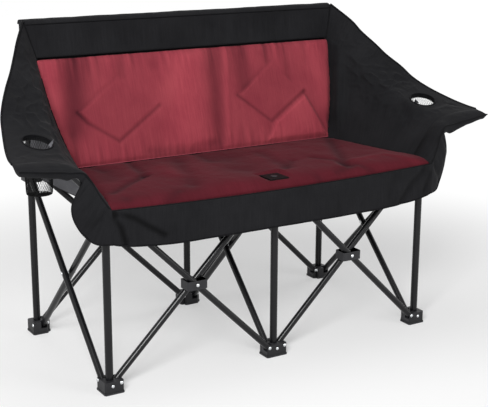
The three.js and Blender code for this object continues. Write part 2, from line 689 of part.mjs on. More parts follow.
// The black shell behind the pad, with the band above it and the pockets for the three rear posts.
function backPanel() {
  const behind = BACK_PAD_THICK - PAD_CROWN + GAP;
  const hemBase = REAR_POST_TOP + GAP;
  const hemLap = hemBase + OVERRUN;
  const skin = formed(8, 4, 1, (u, v, w) => {
    const place = backPlane(u, v * SKIN_LAP_SHARE);
    place.y += behind + BACK_SKIN * (1 - w);
    return place;
  });
  const band = formed(8, 2, 1, (u, v, w) => {
    const x = blend(-1, 1, u) * blend(BACK_PAD_TOP_HALF_W, HEM_HALF_W - SEAM_GAP * 3, v);
    const front = blend(BACK_PAD_TOP_Y, BAND_TOP_Y, v);
    const thick = blend(behind + BACK_SKIN, BAND_THICK, v);
    return new THREE.Vector3(x, front + thick * (1 - w), blend(BACK_PAD_TOP_Z + GAP, hemLap, v));
  });
  let body = skin.add(band);
  for (const x of [-BAY, 0, BAY]) {
    const pocket = upright(POCKET_R, POCKET_BASE, hemLap, TUBE_SIDES, x, BAY);
    const web = box([x - POST_R, x + POST_R], [BAND_TOP_Y + GAP, BAY], [POCKET_BASE, hemLap]);
    const bore = upright(POST_R + RUNNING_GAP, POCKET_BASE - OVERRUN, hemBase, TUBE_SIDES, x, BAY);
    body = body.add(pocket).add(web).subtract(bore);
  }
  return body;
}

function topHem() {
  return formed(6, 2, 2, (u, v, w) => {
    const side = blend(-1, 1, v);
    const top = HEM_H * (1 - HEM_ROUND_SHARE * side * side * w);
    const y = BAY + HEM_HALF_D * side;
    return new THREE.Vector3(blend(-HEM_HALF_W, HEM_HALF_W, u), y, REAR_POST_TOP + GAP + w * top);
  });
}

// The black sheet behind the seat seam that runs on to the rear brackets.
function rearFlap() {
  const base = SEAT_Z - SEAT_THICK;
  return formed(6, 1, 1, (u, v, w) => {
    const y = blend(SEAT_REAR_Y - OVERRUN, FLAP_REAR_Y, v);
    return new THREE.Vector3(blend(-1, 1, u) * SEAT_REAR_HALF_W, y, base + w * FLAP_THICK);
  });
}

// Lower edge of the skirt, which hangs lowest in the middle.
function skirtLow(x) {
  return SKIRT_Z + SKIRT_CORNER_LIFT * (x / SEAT_FRONT_HALF_W) ** SKIRT_LIFT_POWER;
}

function frontSkirt() {
  return formed(SKIRT_STEPS, 3, 1, (u, v, w) => {
    const x = blend(-1, 1, u) * SEAT_FRONT_HALF_W;
    const top = SEAT_Z - edgeDrop(x) - SEAM_GAP;
    const z = blend(skirtLow(x), top, v);
    const wave = SKIRT_FOLD * (1 - v) * Math.sin(u * SKIRT_FOLDS * Math.PI * 2) ** 2;
    return new THREE.Vector3(x, SEAT_FRONT_Y - GAP - wave - SKIRT_THICK * w, z);
  });
}

// Lower edge of the pouch-like right-hand corner of the skirt, from the seat's corner, in shares of
// the pouch's width, depth and height.
const pouchLowShares = [
  [0, 0, -0.9], [0.44, 0.29, -0.88], [0.74, 0.46, -0.68], [0.94, 0.54, -0.43], [1.08, 0.59, -0.14],
  [1.07, 0.57, 0.15], [0.83, 0.44, 0.5],
];

function skirtCorner() {
  const corner = new THREE.Vector3(SEAT_FRONT_HALF_W + GAP, SEAT_FRONT_Y - GAP, SEAT_Z - SEAT_CORNER_DROP);
  const size = new THREE.Vector3(POUCH_WIDTH, POUCH_DEPTH, POUCH_HEIGHT);
  const low = new THREE.CatmullRomCurve3(pouchLowShares.map(
    (shares) => new THREE.Vector3(...shares).multiply(size).add(corner)));
  const sleeveEdge = [POUCH_LAP, POUCH_LAP + POUCH_SEAM].map((past) => besideRail(
    BRACE_LENGTH + SLEEVE_START + past, 0, SLEEVE_FRONT_Y + POUCH_LAP));
  const high = new THREE.CatmullRomCurve3([corner, ...sleeveEdge]);
  return formed(8, 4, 1, (u, v, w) => {
    const point = low.getPoint(u).lerp(high.getPoint(u), v);
    const swell = POUCH_SWELL * Math.sin(Math.PI * v) * Math.sin(Math.PI * u);
    const away = new THREE.Vector3(u, -1, 0).normalize();
    return point.addScaledVector(away, swell + SKIRT_THICK * w);
  });
}

const seatMiddle = BAY / 2;
addMesh('seat_front_roll', seatFrontRoll(), wineCloth);
addMesh('seat_pad_front', seatPad(SEAT_ROLL_Y, seatMiddle - GAP / 2, 6), wineCloth);
addMesh('seat_pad_rear', seatPad(seatMiddle + GAP / 2, SEAT_REAR_Y, 3).add(rearFlap()), wineCloth);
addMesh('back_pad', backPad(), wineCloth);
addMesh('back_panel', backPanel().add(topHem()), blackCloth);
addMesh('front_skirt', frontSkirt(), blackCloth);

const sides = {
  right: { flip: (body) => body, lane: LANE },
  left: { flip: mirrored, lane: -LANE },
};
for (const [side, { flip, lane }] of Object.entries(sides)) {
  addMesh(`arm_panel_${side}`, flip(armPanel()), blackCloth);
  addMesh(`arm_sleeve_${side}`, flip(armSleeve(lane).add(skirtCorner())), blackCloth);
  addMesh(`cup_pocket_${side}`, flip(cupPocket()), blackNet);
}

// The heating switch on the seat's front edge: a rubber patch with one press button.
const patchBase = PATCH_RECESS_Z + GAP;
const patchSpan = [-PATCH_HALF, PATCH_HALF];
const patchDepth = [PATCH_Y - PATCH_HALF, PATCH_Y + PATCH_HALF];
const patch = box(patchSpan, patchDepth, [patchBase, patchBase + PATCH_THICK]);
const well = upright(BUTTON_R + GAP, patchBase + BUTTON_FLOOR, SEAT_Z * 2, CUP_SIDES, 0, PATCH_Y);
addMesh('switch_patch', patch.subtract(well), softRubber);
const buttonBase = patchBase + BUTTON_FLOOR + BUTTON_TRAVEL + GAP;
const buttonTop = patchBase + PATCH_THICK + BUTTON_PROUD;
addMesh('switch_button', upright(BUTTON_R, buttonBase, buttonTop, CUP_SIDES, 0, PATCH_Y), softRubber);

export default loveseat;
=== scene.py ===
# %% [markdown]
# A folding camping loveseat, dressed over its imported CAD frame.
# The frame gives every place and every size. This script adds what the eye reads as the real thing:
# round painted tubes, moulded feet with soft edges, padded burgundy cloth, black wings and a skirt.

# %% Load the frame
import json
import math
import bmesh
import bpy
from mathutils import Matrix, Vector, noise


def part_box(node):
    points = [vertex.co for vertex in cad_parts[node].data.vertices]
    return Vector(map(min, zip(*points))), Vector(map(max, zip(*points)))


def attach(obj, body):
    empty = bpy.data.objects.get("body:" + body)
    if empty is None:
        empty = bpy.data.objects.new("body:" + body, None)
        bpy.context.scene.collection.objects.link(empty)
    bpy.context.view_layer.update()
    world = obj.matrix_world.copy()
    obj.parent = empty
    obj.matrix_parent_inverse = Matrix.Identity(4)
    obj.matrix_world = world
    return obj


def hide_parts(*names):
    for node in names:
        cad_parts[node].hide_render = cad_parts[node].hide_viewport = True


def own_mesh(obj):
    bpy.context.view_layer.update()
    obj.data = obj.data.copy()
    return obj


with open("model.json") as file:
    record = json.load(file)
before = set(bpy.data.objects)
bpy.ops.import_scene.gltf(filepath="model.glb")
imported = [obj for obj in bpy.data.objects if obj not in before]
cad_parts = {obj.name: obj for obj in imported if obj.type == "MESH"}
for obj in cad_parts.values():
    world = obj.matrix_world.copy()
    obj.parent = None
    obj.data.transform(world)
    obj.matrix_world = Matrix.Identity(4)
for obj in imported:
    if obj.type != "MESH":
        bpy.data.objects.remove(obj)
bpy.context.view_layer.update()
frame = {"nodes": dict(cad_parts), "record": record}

# %% [markdown]
# All sizes below are the maker's millimetres, measured from the front centre post on the floor.
# The row's own origin lies under the middle of the seat, so one helper shifts and scales a point.

# %% Units
ORIGIN_Y = 250.7
BAY = 535.0
SIDES = {"left": -1, "right": 1}


def at(x, y, z):
    """A point in the maker's millimetres as metres in the row frame."""
    return Vector((x, y - ORIGIN_Y, z)) / 1000


def mm(length):
    return length / 1000


def mix(a, b, share):
    return a + (b - a) * share


def clamp(share):
    return min(max(share, 0), 1)


print("origin is", ORIGIN_Y, "mm behind the front posts")

# %% [markdown]
# The camera stands where the photographer stood: to the left of the chair, at chest height, and about
# three and a half metres away.

# %% Camera
PHOTO_SIZE = (488, 407)
FOCAL_PIXELS = 1160.2
AZIMUTH, ELEVATION, ROLL = (math.radians(a) for a in (-31.36, 15.10, 0.262))
SENSOR_MM = 36
CAMERA_PLACE = (-1758.5, -2714.5, 1336.6)

camera_data = bpy.data.cameras.new("camera")
camera = bpy.data.objects.new("camera", camera_data)
bpy.context.scene.collection.objects.link(camera)
camera_data.sensor_width = SENSOR_MM
camera_data.lens = FOCAL_PIXELS * SENSOR_MM / PHOTO_SIZE[0]
turn = Matrix.Rotation(AZIMUTH, 4, "Z") @ Matrix.Rotation(math.pi / 2 - ELEVATION, 4, "X")
turn = turn @ Matrix.Rotation(ROLL, 4, "Z")
camera.matrix_world = Matrix.Translation(at(*CAMERA_PLACE)) @ turn
bpy.context.scene.camera = camera
print("lens", round(camera_data.lens, 1), "mm")

# %% [markdown]
# A plain pale floor and a soft white world, as in a studio. Near the chair the floor is paper that keeps
# the shadow, and further out it fades to the white that the camera sees behind it. The chair itself is
# lit at a plain level, by a dim world and three large lamps.

# %% Colours and nodes
def linear(code):
    """An sRGB hex colour as linear red, green, blue and alpha."""
    shares = [int(code[i:i + 2], 16) / 255 for i in (1, 3, 5)]
    curve = [s / 12.92 if s <= 0.04045 else ((s + 0.055) / 1.055) ** 2.4 for s in shares]
    return (*curve, 1.0)


def add_node(tree, kind, inputs=None, **settings):
    """Adds one node. inputs holds a value or another node's output for each named socket."""
    node = tree.nodes.new(kind)
    for key, value in settings.items():
        setattr(node, key, value)
    for key, value in (inputs or {}).items():
        if isinstance(value, bpy.types.NodeSocket):
            tree.links.new(value, node.inputs[key])
        else:
            node.inputs[key].default_value = value
    return node


def new_material(name, **shader):
    """A material with its node tree and Principled shader, whose sockets are named with underscores."""
    material = bpy.data.materials.new(name)
    material.use_nodes = True
    tree = material.node_tree
    bsdf = tree.nodes["Principled BSDF"]
    for key, value in shader.items():
        bsdf.inputs[key.replace("_", " ")].default_value = value
    return material, tree, bsdf


print("burgundy in linear light", [round(c, 3) for c in linear("#8e3540")])

# %% Floor and world
FLOOR_HALF, FLOOR_GAP = 9.0, 0.0005
floor_bm = bmesh.new()
bmesh.ops.create_grid(floor_bm, x_segments=1, y_segments=1, size=FLOOR_HALF)
floor_mesh = bpy.data.meshes.new("floor")
floor_bm.to_mesh(floor_mesh)
floor_bm.free()
floor = bpy.data.objects.new("floor", floor_mesh)
bpy.context.scene.collection.objects.link(floor)
floor.location.z = -FLOOR_GAP


def seen_directly(tree):
    """One where the camera, a mirror or a clear piece looks straight at the backdrop."""
    path = add_node(tree, "ShaderNodeLightPath")
    seen = path.outputs["Is Camera Ray"]
    for kind in ("Is Glossy Ray", "Is Transmission Ray"):
        either = add_node(tree, "ShaderNodeMath", {0: seen, 1: path.outputs[kind]}, operation="MAXIMUM")
        seen = either.outputs[0]
    return seen


PAPER_NEAR, PAPER_FADE, PAPER_GLOW = 0.37, (0.9, 2.2), 1.03
floor_paper, tree, bsdf = new_material("studio_paper", Roughness=0.9, Specular_IOR_Level=0.1,
                                       Base_Color=linear("#fafafa"))
floor.data.materials.append(floor_paper)
place = add_node(tree, "ShaderNodeTexCoord")
away = add_node(tree, "ShaderNodeVectorMath", {0: place.outputs["Object"]}, operation="LENGTH")
fade = add_node(tree, "ShaderNodeMapRange", {
    "Value": away.outputs["Value"], "From Min": PAPER_FADE[0], "From Max": PAPER_FADE[1],
    "To Min": PAPER_NEAR, "To Max": 1.0}, interpolation_type="SMOOTHSTEP")
share = add_node(tree, "ShaderNodeMath", {0: fade.outputs[0], 1: seen_directly(tree)}, operation="MULTIPLY")
glow = add_node(tree, "ShaderNodeEmission", {"Color": (1, 1, 1, 1), "Strength": PAPER_GLOW})
paper = add_node(tree, "ShaderNodeMixShader", {0: share.outputs[0], 1: bsdf.outputs[0], 2: glow.outputs[0]})
tree.links.new(paper.outputs[0], tree.nodes["Material Output"].inputs["Surface"])

world = bpy.data.worlds.new("studio")
bpy.context.scene.world = world
world.use_nodes = True
world_tree = world.node_tree
world_tree.nodes.clear()
WORLD_LIGHT = 0.15
strength = add_node(world_tree, "ShaderNodeMapRange", {
    "Value": seen_directly(world_tree), "To Min": WORLD_LIGHT, "To Max": 1.0})
background = add_node(world_tree, "ShaderNodeBackground", {
    "Color": (1, 1, 1, 1), "Strength": strength.outputs[0]})
add_node(world_tree, "ShaderNodeOutputWorld", {"Surface": background.outputs[0]})

scene = bpy.context.scene
scene.view_settings.view_transform = "Standard"

LAMPS = {
    "key": (Vector((-2.6, -2.9, 2.6)), 1.5, 190),
    "fill": (Vector((2.2, -3.4, 1.2)), 1.8, 45),
    "top": (Vector((0.2, 0.7, 3.4)), 2.2, 27),
}
LAMP_AIM = Vector((0, 0, 0.45))
for name, (place, size, power) in LAMPS.items():
    lamp_data = bpy.data.lights.new(name, "AREA")
    lamp_data.size = size
    lamp_data.energy = power
    lamp = bpy.data.objects.new(name, lamp_data)
    scene.collection.objects.link(lamp)
    lamp.location = place
    lamp.rotation_euler = (LAMP_AIM - place).to_track_quat("-Z", "Y").to_euler()
print("lamps", list(LAMPS))

# %% [markdown]
# Steel tube with a black powder coat. The coat is a thin layer of melted plastic powder: satin, with a
# very fine orange peel that breaks up the long highlights.

# %% Powder coated steel
def bump_from(tree, bsdf, height, strength, distance_mm, normal=None):
    """Feeds a height pattern into the shader's normal."""
    inputs = {"Height": height, "Strength": strength, "Distance": mm(distance_mm)}
    if normal is not None:
        inputs["Normal"] = normal
    node = add_node(tree, "ShaderNodeBump", inputs)
    tree.links.new(node.outputs[0], bsdf.inputs["Normal"])
    return node


def object_noise(tree, size_mm, detail=2.0):
    """A cloudy pattern whose blobs are about size_mm across, on the piece's own coordinates."""
    place = add_node(tree, "ShaderNodeTexCoord")
    scaled = add_node(tree, "ShaderNodeMapping", {
        "Vector": place.outputs["Object"], "Scale": [1000 / size_mm] * 3})
    return add_node(tree, "ShaderNodeTexNoise", {
        "Vector": scaled.outputs[0], "Scale": 1.0, "Detail": detail}).outputs[0]


def ramp(tree, factor, low, high):
    """Mixes two sRGB colours by a pattern."""
    return add_node(tree, "ShaderNodeMix", {"Factor": factor, 6: linear(low), 7: linear(high)},
                    data_type="RGBA").outputs[2]


PEEL_MM = 3.0
powder_coat, tree, bsdf = new_material("black_powder_coat_on_steel", Roughness=0.26, Metallic=0.0,
                                       Specular_IOR_Level=0.25, Coat_Weight=0.05, Coat_Roughness=0.12)
tint = ramp(tree, object_noise(tree, 60.0), "#0c0c0e", "#131315")
tree.links.new(tint, bsdf.inputs["Base Color"])
bump_from(tree, bsdf, object_noise(tree, PEEL_MM), 0.06, 0.2)
print("orange peel every", PEEL_MM, "mm")

# %% [markdown]
# Feet, brackets and hubs are injection moulded from glass filled nylon: dark grey black, matt, with a
# fine spark eroded texture and slightly worn, paler edges.

# %% Moulded nylon
GRIT_MM = 1.1
nylon, tree, bsdf = new_material("moulded_glass_filled_nylon", Roughness=0.5, Specular_IOR_Level=0.25)
wear = add_node(tree, "ShaderNodeNewGeometry")
edges = add_node(tree, "ShaderNodeMapRange", {
    "Value": wear.outputs["Pointiness"], "From Min": 0.5, "From Max": 0.62})
tree.links.new(ramp(tree, edges.outputs[0], "#19191b", "#323235"), bsdf.inputs["Base Color"])
bump_from(tree, bsdf, object_noise(tree, GRIT_MM), 0.25, 0.25)
print("spark eroded grit every", GRIT_MM, "mm")

# %% [markdown]
# Rivets are zinc plated steel. Plating is bright but never a mirror: a cloudy, slightly uneven silver.

# %% Zinc plate
zinc, tree, bsdf = new_material("zinc_plated_steel", Metallic=1.0, Base_Color=linear("#d4d6d8"))
HAZE_MM = 2.5
dull = add_node(tree, "ShaderNodeMapRange", {
    "Value": object_noise(tree, HAZE_MM, 3.0), "To Min": 0.22, "To Max": 0.42})
tree.links.new(dull.outputs[0], bsdf.inputs["Roughness"])
print("plating is cloudy every", HAZE_MM, "mm")

# %% [markdown]
# The cloth is a woven polyester, as on tents and rucksacks. Its threads run along and across each panel,
# so the weave follows the piece's UV map, which is laid out in metres. Real threads are about half a
# millimetre apart, too fine to show in the picture, so they are drawn coarser. Slubs, the slightly
# thicker threads, give the long faint streaks that the eye takes for woven cloth.

# %% Woven cloth
THREAD_MM, SLUB_MM, SLUB_LENGTH = 2.4, 3.4, 24
BLOTCH_MM, RUMPLE_MM = 90.0, 28.0


def woven(name, dark, light, shade_colour, roughness, sheen):
    """A woven polyester in two close shades, with painted shade mixed in from a vertex layer."""
    material, tree, bsdf = new_material(name, Roughness=roughness, Sheen_Weight=sheen, Sheen_Roughness=0.45,
                                        Specular_IOR_Level=0.08)
    place = add_node(tree, "ShaderNodeUVMap", uv_map="cloth")
    waves = []
    for direction in ("X", "Y"):
        waves.append(add_node(tree, "ShaderNodeTexWave", {
            "Vector": place.outputs[0], "Scale": math.tau / 20 * 1000 / THREAD_MM,
            "Distortion": 0.6, "Detail": 1.0, "Detail Scale": 2.0}, bands_direction=direction))
    crossing = add_node(tree, "ShaderNodeMath", {0: waves[0].outputs["Fac"], 1: waves[1].outputs["Fac"]},
                        operation="MULTIPLY")
    slub_place = add_node(tree, "ShaderNodeMapping", {
        "Vector": place.outputs[0], "Scale": (1000 / SLUB_MM, 1000 / SLUB_MM / SLUB_LENGTH, 1)})
    slubs = add_node(tree, "ShaderNodeTexNoise", {
        "Vector": slub_place.outputs[0], "Scale": 1.0, "Detail": 4.0})
    shade = add_node(tree, "ShaderNodeMath", {0: slubs.outputs[0], 1: object_noise(tree, BLOTCH_MM, 3.0)},
                     operation="ADD")
    spread = add_node(tree, "ShaderNodeMapRange", {
        "Value": shade.outputs[0], "From Min": 0.7, "From Max": 1.3})
    # Painted shade: a vertex layer mixes the dark shade colour into creases, folds and stitches.
    painted_shade = add_node(tree, "ShaderNodeAttribute", attribute_name="painted_shade")
    shade_mix = add_node(tree, "ShaderNodeMix", {
        "Factor": painted_shade.outputs["Fac"], 6: ramp(tree, spread.outputs[0], dark, light),
        7: linear(shade_colour)}, data_type="RGBA")
    tree.links.new(shade_mix.outputs[2], bsdf.inputs["Base Color"])
    rumple = add_node(tree, "ShaderNodeBump", {
        "Height": object_noise(tree, RUMPLE_MM, 4.0), "Strength": 0.6, "Distance": mm(3.2)})
    bump_from(tree, bsdf, crossing.outputs[0], 0.22, 0.5, rumple.outputs[0])
    return material


# The third colour of each cloth is its painted shade colour.
black_cloth = woven("black_woven_polyester", "#121214", "#1c1c1e", "#060607", 0.8, 0.02)
wine_cloth = woven("burgundy_woven_polyester", "#89343f", "#994049", "#3f151d", 0.78, 0.04)
# The seat is the back's burgundy cloth, set darker: painted shade, for the seat takes less light.
seat_cloth_painted_darker = woven("burgundy_polyester_painted_darker_for_seat", "#50151e", "#5b1c26", "#1f0a10", 0.8, 0.02)
lining_cloth = woven("grey_black_lining", "#545458", "#66666a", "#1c1c1e", 0.85, 0.04)
print("threads drawn every", THREAD_MM, "mm")

# %% [markdown]
# The binding tape and the piping are the same polyester woven tight over a cord, so they look smoother
# and a little darker. The drink holders are a knotted nylon net. The switch is moulded silicone. The
# table gives colour, roughness and gloss, then the grain in millimetres, its strength and its depth.

# %% Tape, net and silicone
TRIM = {
    "tight_black_binding_tape": ("#0c0c0e", 0.7, 0.08, 2.0, 0.4, 0.4),
    "knotted_nylon_net": ("#1a1a1a", 0.6, 0.08, 1.2, 0.5, 0.3),
    "moulded_silicone": ("#080809", 0.48, 0.06, 3.0, 0.1, 0.2),
    "burgundy_seam_tape": ("#8e3f4a", 0.6, 0.1, 2.0, 0.4, 0.4),
}
trim_materials = []
for name, (colour, roughness, specular, grain_mm, strength, depth_mm) in TRIM.items():
    material, tree, bsdf = new_material(name, Roughness=roughness, Specular_IOR_Level=specular,
                                        Base_Color=linear(colour))
    bump_from(tree, bsdf, object_noise(tree, grain_mm), strength, depth_mm)
    trim_materials.append(material)
tape, net_cord, silicone, wine_tape = trim_materials

button_top, tree, bsdf = new_material("silicone_button_top", Roughness=0.4, Specular_IOR_Level=0.3)
tree.links.new(ramp(tree, object_noise(tree, 4.0), "#12181b", "#182024"), bsdf.inputs["Base Color"])
print("trim materials", [*TRIM, button_top.name])

# %% From bmesh to piece
SHARP_ANGLE = math.radians(38)


def make_piece(name, bm, material, body, replaced=(), sharp=SHARP_ANGLE, outward=True):
    """Writes a bmesh to a new object that rides on a body."""
    if outward:
        bmesh.ops.recalc_face_normals(bm, faces=bm.faces)
    for face in bm.faces:
        face.smooth = True
    for edge in bm.edges:
        edge.smooth = len(edge.link_faces) == 2 and edge.calc_face_angle(0) < sharp
    mesh = bpy.data.meshes.new(name)
    bm.to_mesh(mesh)
    bm.free()
    piece = bpy.data.objects.new(name, mesh)
    scene.collection.objects.link(piece)
    for entry in material if isinstance(material, list) else [material]:
        mesh.materials.append(entry)
    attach(piece, body)
    if replaced:
        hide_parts(*replaced)
    return piece


def settle_modifiers(piece):
    """Applies a piece's modifiers, so that its mesh is final."""
    graph = bpy.context.evaluated_depsgraph_get()
    final = bpy.data.meshes.new_from_object(piece.evaluated_get(graph), depsgraph=graph)
    piece.modifiers.clear()
    old = piece.data
    piece.data = final
    bpy.data.meshes.remove(old)


print("pieces sharper than", round(math.degrees(SHARP_ANGLE)), "degrees keep a crisp edge")

# %% [markdown]
# Tubes. A real brace is a drawn steel tube, perfectly round, cut square, with a thin wall that shows at
# its open end. A cone operator with equal ends gives the tube, and Solidify as an operator its wall.

# %% Tube helper
TUBE_SIDES = 28


def facing(place, way):
    """A matrix that puts a shape at a place, with its own Z axis along way."""
    return Matrix.Translation(place) @ way.to_track_quat("Z", "Y").to_matrix().to_4x4()


def around(verts, kind):
    """The link_edges or link_faces of some vertices, each once and in the same order on every run."""
    return list(dict.fromkeys(part for vertex in verts for part in getattr(vertex, kind)))


def add_rod(bm, start, end, radius, sides=20, cap_ends=True):
    """A round rod between two points, in millimetres of the maker's frame."""
    a, b = at(*start), at(*end)
    return bmesh.ops.create_cone(bm, cap_ends=cap_ends, segments=sides, radius1=mm(radius),
                                 radius2=mm(radius), depth=(b - a).length, matrix=facing((a + b) / 2, b - a))


def add_tube(bm, start, end, radius, wall):
    """A hollow tube between two points."""
    made = add_rod(bm, start, end, radius, TUBE_SIDES, cap_ends=False)
    bmesh.ops.solidify(bm, geom=around(made["verts"], "link_faces"), thickness=mm(wall))


print("tubes have", TUBE_SIDES, "sides")

# %% [markdown]
# The six columns stand on a square grid. Every brace starts at a foot and ends at the top bracket of the
# neighbouring column, so one table of columns and directions places all of them.

# %% Columns
COLUMNS = {
    "front_left": (-BAY, 0, {0: "front_centre", 90: "rear_left"}),
    "front_centre": (0, 0, {0: "front_right", 90: "rear_centre", 180: "front_left"}),
    "front_right": (BAY, 0, {90: "rear_right", 180: "front_centre"}),
    "rear_left": (-BAY, BAY, {0: "rear_centre", 270: "front_left"}),
    "rear_centre": (0, BAY, {0: "rear_right", 180: "rear_left", 270: "front_centre"}),
    "rear_right": (BAY, BAY, {180: "rear_centre", 270: "front_right"}),
}
POST_R, POST_WALL, ROD_R = 11, 1.5, 9
BRACE_R, BRACE_WALL, LANE, PIVOT_OUT = 9.5, 1.2, 10.5, 26
FOOT_PIVOT_Z, TOP_PIVOT_Z = 30, 508
FRONT_POST_TOP, REAR_POST_TOP, POST_BASE = 485.7, 955, 5.3
ROD_SPAN = (208.7, 496.6)
BRACE_END = 6
PIN_R, PIN_HALF = 2.5, 15.2
SPAN, RISE = BAY - 2 * PIVOT_OUT, TOP_PIVOT_Z - FOOT_PIVOT_Z
OPEN_ANGLE = math.atan2(RISE, SPAN)
BRACE_LENGTH = math.hypot(SPAN, RISE)
OPEN_COS, OPEN_SIN = math.cos(OPEN_ANGLE), math.sin(OPEN_ANGLE)


def arm_point(column, angle, along, lane, height):
    """A point out from a column in a brace's direction, in millimetres."""
    x, y, _ = COLUMNS[column]
    turned = Vector((along, lane, 0)) @ Matrix.Rotation(-math.radians(angle), 3, "Z")
    return (x + turned.x, y + turned.y, height)


def brace_point(column, angle, along, lane):
    """A point along a straight brace, in a lane beside the line of the columns."""
    return arm_point(column, angle, PIVOT_OUT + along * OPEN_COS, lane, FOOT_PIVOT_Z + along * OPEN_SIN)


for name, (x, y, arms) in COLUMNS.items():
    bm = bmesh.new()
    add_tube(bm, (x, y, POST_BASE), (x, y, FRONT_POST_TOP if y == 0 else REAR_POST_TOP), POST_R, POST_WALL)
    make_piece("tube_post_" + name, bm, powder_coat, "column_" + name, ["post_" + name],
               outward=False)
    if y == 0:
        bm = bmesh.new()
        add_rod(bm, (x, y, ROD_SPAN[0]), (x, y, ROD_SPAN[1]), ROD_R)
        make_piece("slide_rod_" + name, bm, powder_coat, "bracket_" + name, ["inner_rod_" + name])
print("posts and rods", len(COLUMNS) + 3)

# %% [markdown]
# Twelve braces are straight. The two long ones carry on past the outer front brackets, bend and become
# the rails inside the arms. A point along a brace is found from the same few numbers as in the CAD.

# %% Braces
RAIL_STRAIGHT, RAIL_BEND_R, RAIL_BEND, RAIL_END = 160, 60, math.radians(37), 109
BEND_START = BRACE_LENGTH + RAIL_STRAIGHT
BEND_END = BEND_START + RAIL_BEND_R * RAIL_BEND
RAIL_TIP = BEND_END + RAIL_END


def rail_turn(along):
    return (min(max(along, BEND_START), BEND_END) - BEND_START) / RAIL_BEND_R


def beside_rail(along, off, y, side=1):
    """A point by a long brace's centre line: along it, above it by off, and at y across the frame."""
    turn = rail_turn(along)
    after = max(along - BEND_END, 0)
    x = min(along, BEND_START) + RAIL_BEND_R * math.sin(turn) + after * math.cos(turn) + off * math.sin(turn)
    z = -RAIL_BEND_R * (1 - math.cos(turn)) - after * math.sin(turn) + off * math.cos(turn)
    return (side * (PIVOT_OUT + x * OPEN_COS - z * OPEN_SIN), y, FOOT_PIVOT_Z + x * OPEN_SIN + z * OPEN_COS)


def sweep_ring(bm, points, radius, sides, cap_ends=False):
    """Extrudes a ring from point to point along a path in metres, and returns its last edges."""
    ways = [(b - a).normalized() for a, b in zip(points, points[1:])]
    rings = [ways[0]] + [(p + q).normalized() for p, q in zip(ways, ways[1:])] + [ways[-1]]
    made = bmesh.ops.create_circle(bm, segments=sides, radius=mm(radius), cap_ends=cap_ends,
                                   matrix=facing(points[0], rings[0]))
    loop = around(made["verts"], "link_edges")
    for i in range(1, len(points)):
        out = bmesh.ops.extrude_edge_only(bm, edges=loop)["geom"]
        loop = [g for g in out if isinstance(g, bmesh.types.BMEdge)]
        ring = [g for g in out if isinstance(g, bmesh.types.BMVert)]
        bend = rings[i - 1].rotation_difference(rings[i]).to_matrix().to_4x4()
        move = Matrix.Translation(points[i]) @ bend @ Matrix.Translation(-points[i - 1])
        bmesh.ops.transform(bm, matrix=move, verts=ring)
    return loop


straight_count = 0
for name, (x, y, arms) in COLUMNS.items():
    for angle, other in arms.items():
        node = f"brace_{name}_to_{other}"
        bm = bmesh.new()
        if name == "front_centre" and other != "rear_centre":
            side = 1 if angle == 0 else -1
            lane = LANE * side
            stations = [-BRACE_END, BEND_START * 0.5, BEND_START]
            stations += [mix(BEND_START, BEND_END, i / 8) for i in range(1, 9)] + [RAIL_TIP]
            sweep_ring(bm, [at(*beside_rail(s, 0, lane, side)) for s in stations], BRACE_R, TUBE_SIDES)
            bmesh.ops.solidify(bm, geom=list(bm.faces), thickness=mm(BRACE_WALL))
        else:
            ends = [brace_point(name, angle, d, LANE) for d in (-BRACE_END, BRACE_LENGTH + BRACE_END)]
            add_tube(bm, *ends, BRACE_R, BRACE_WALL)
            straight_count += 1
        for along in (0, BRACE_LENGTH):
            ends = [brace_point(name, angle, along, LANE + w) for w in (-PIN_HALF, PIN_HALF)]
            add_rod(bm, *ends, PIN_R, 12)
        make_piece("tube_" + node, bm, powder_coat, node, [node], outward=False)
print("straight braces", straight_count)

# %% [markdown]
# The mouldings keep their CAD shape. A copy is merged, its flat faces joined, and a Bevel modifier rounds
# every edge by a millimetre, because a mould never leaves a knife edge and the round edge catches light.

# %% Moulded pieces
EDGE_ROUND_MM = 1.1


def round_moulding(node, body, material, width=EDGE_ROUND_MM):
    """Replaces a moulded CAD node by its own merged shape with rounded edges."""
    bm = bmesh.new()
    bm.from_mesh(frame["nodes"][node].data)
    bmesh.ops.remove_doubles(bm, verts=bm.verts, dist=mm(0.02))
    bmesh.ops.dissolve_limit(bm, angle_limit=math.radians(1), verts=bm.verts, edges=bm.edges)
    piece = make_piece("moulded_" + node, bm, material, body, [node], sharp=math.radians(30),
                       outward=False)
    bevel = piece.modifiers.new("round_edges", "BEVEL")
    bevel.width = mm(width)
    bevel.segments = 2
    bevel.limit_method = "ANGLE"
    bevel.angle_limit = math.radians(35)
    settle_modifiers(piece)


bodies = frame["record"]["behaviour"]["bodies"]
node_body = {node: body for body, nodes in bodies.items() for node in nodes}
mouldings = [n for n in node_body if n.startswith(("foot_", "bracket_", "hub_"))]
for node in mouldings:
    round_moulding(node, node_body[node], nylon)
print("moulded pieces", len(mouldings))

# %% [markdown]
# Rivets. Each pivot pin ends in a domed zinc head on the outside of its moulding, and each crossing has
# one long rivet. A head is a small dome: a sphere flattened and cut at its middle.

# %% Rivets
HEAD_R, HEAD_H, RIVET_R = 5.2, 2.4, 3
ANCHOR_HEAD_R, ANCHOR_HEAD_H, ANCHOR_PIN_Z = 4.6, 2.0, 24
BLOCK_HALF = 23.5


def add_dome(bm, centre, way, radius=HEAD_R, height=HEAD_H):
    """A domed rivet head whose flat side sits at centre and whose top points along way."""
    place = facing(at(*centre), Vector(way))
    shape = place @ Matrix.Diagonal((1, 1, height / radius, 1))
    made = bmesh.ops.create_uvsphere(bm, u_segments=20, v_segments=12, radius=mm(radius), matrix=shape)
    verts = made["verts"]
    geom = [*verts, *around(verts, "link_edges"), *around(verts, "link_faces")]
    cut = bmesh.ops.bisect_plane(bm, geom=geom, plane_co=place.translation, plane_no=place.col[2].xyz,
                                 clear_inner=True)
    rim = [g for g in cut["geom_cut"] if isinstance(g, bmesh.types.BMEdge)]
    bmesh.ops.holes_fill(bm, edges=rim)


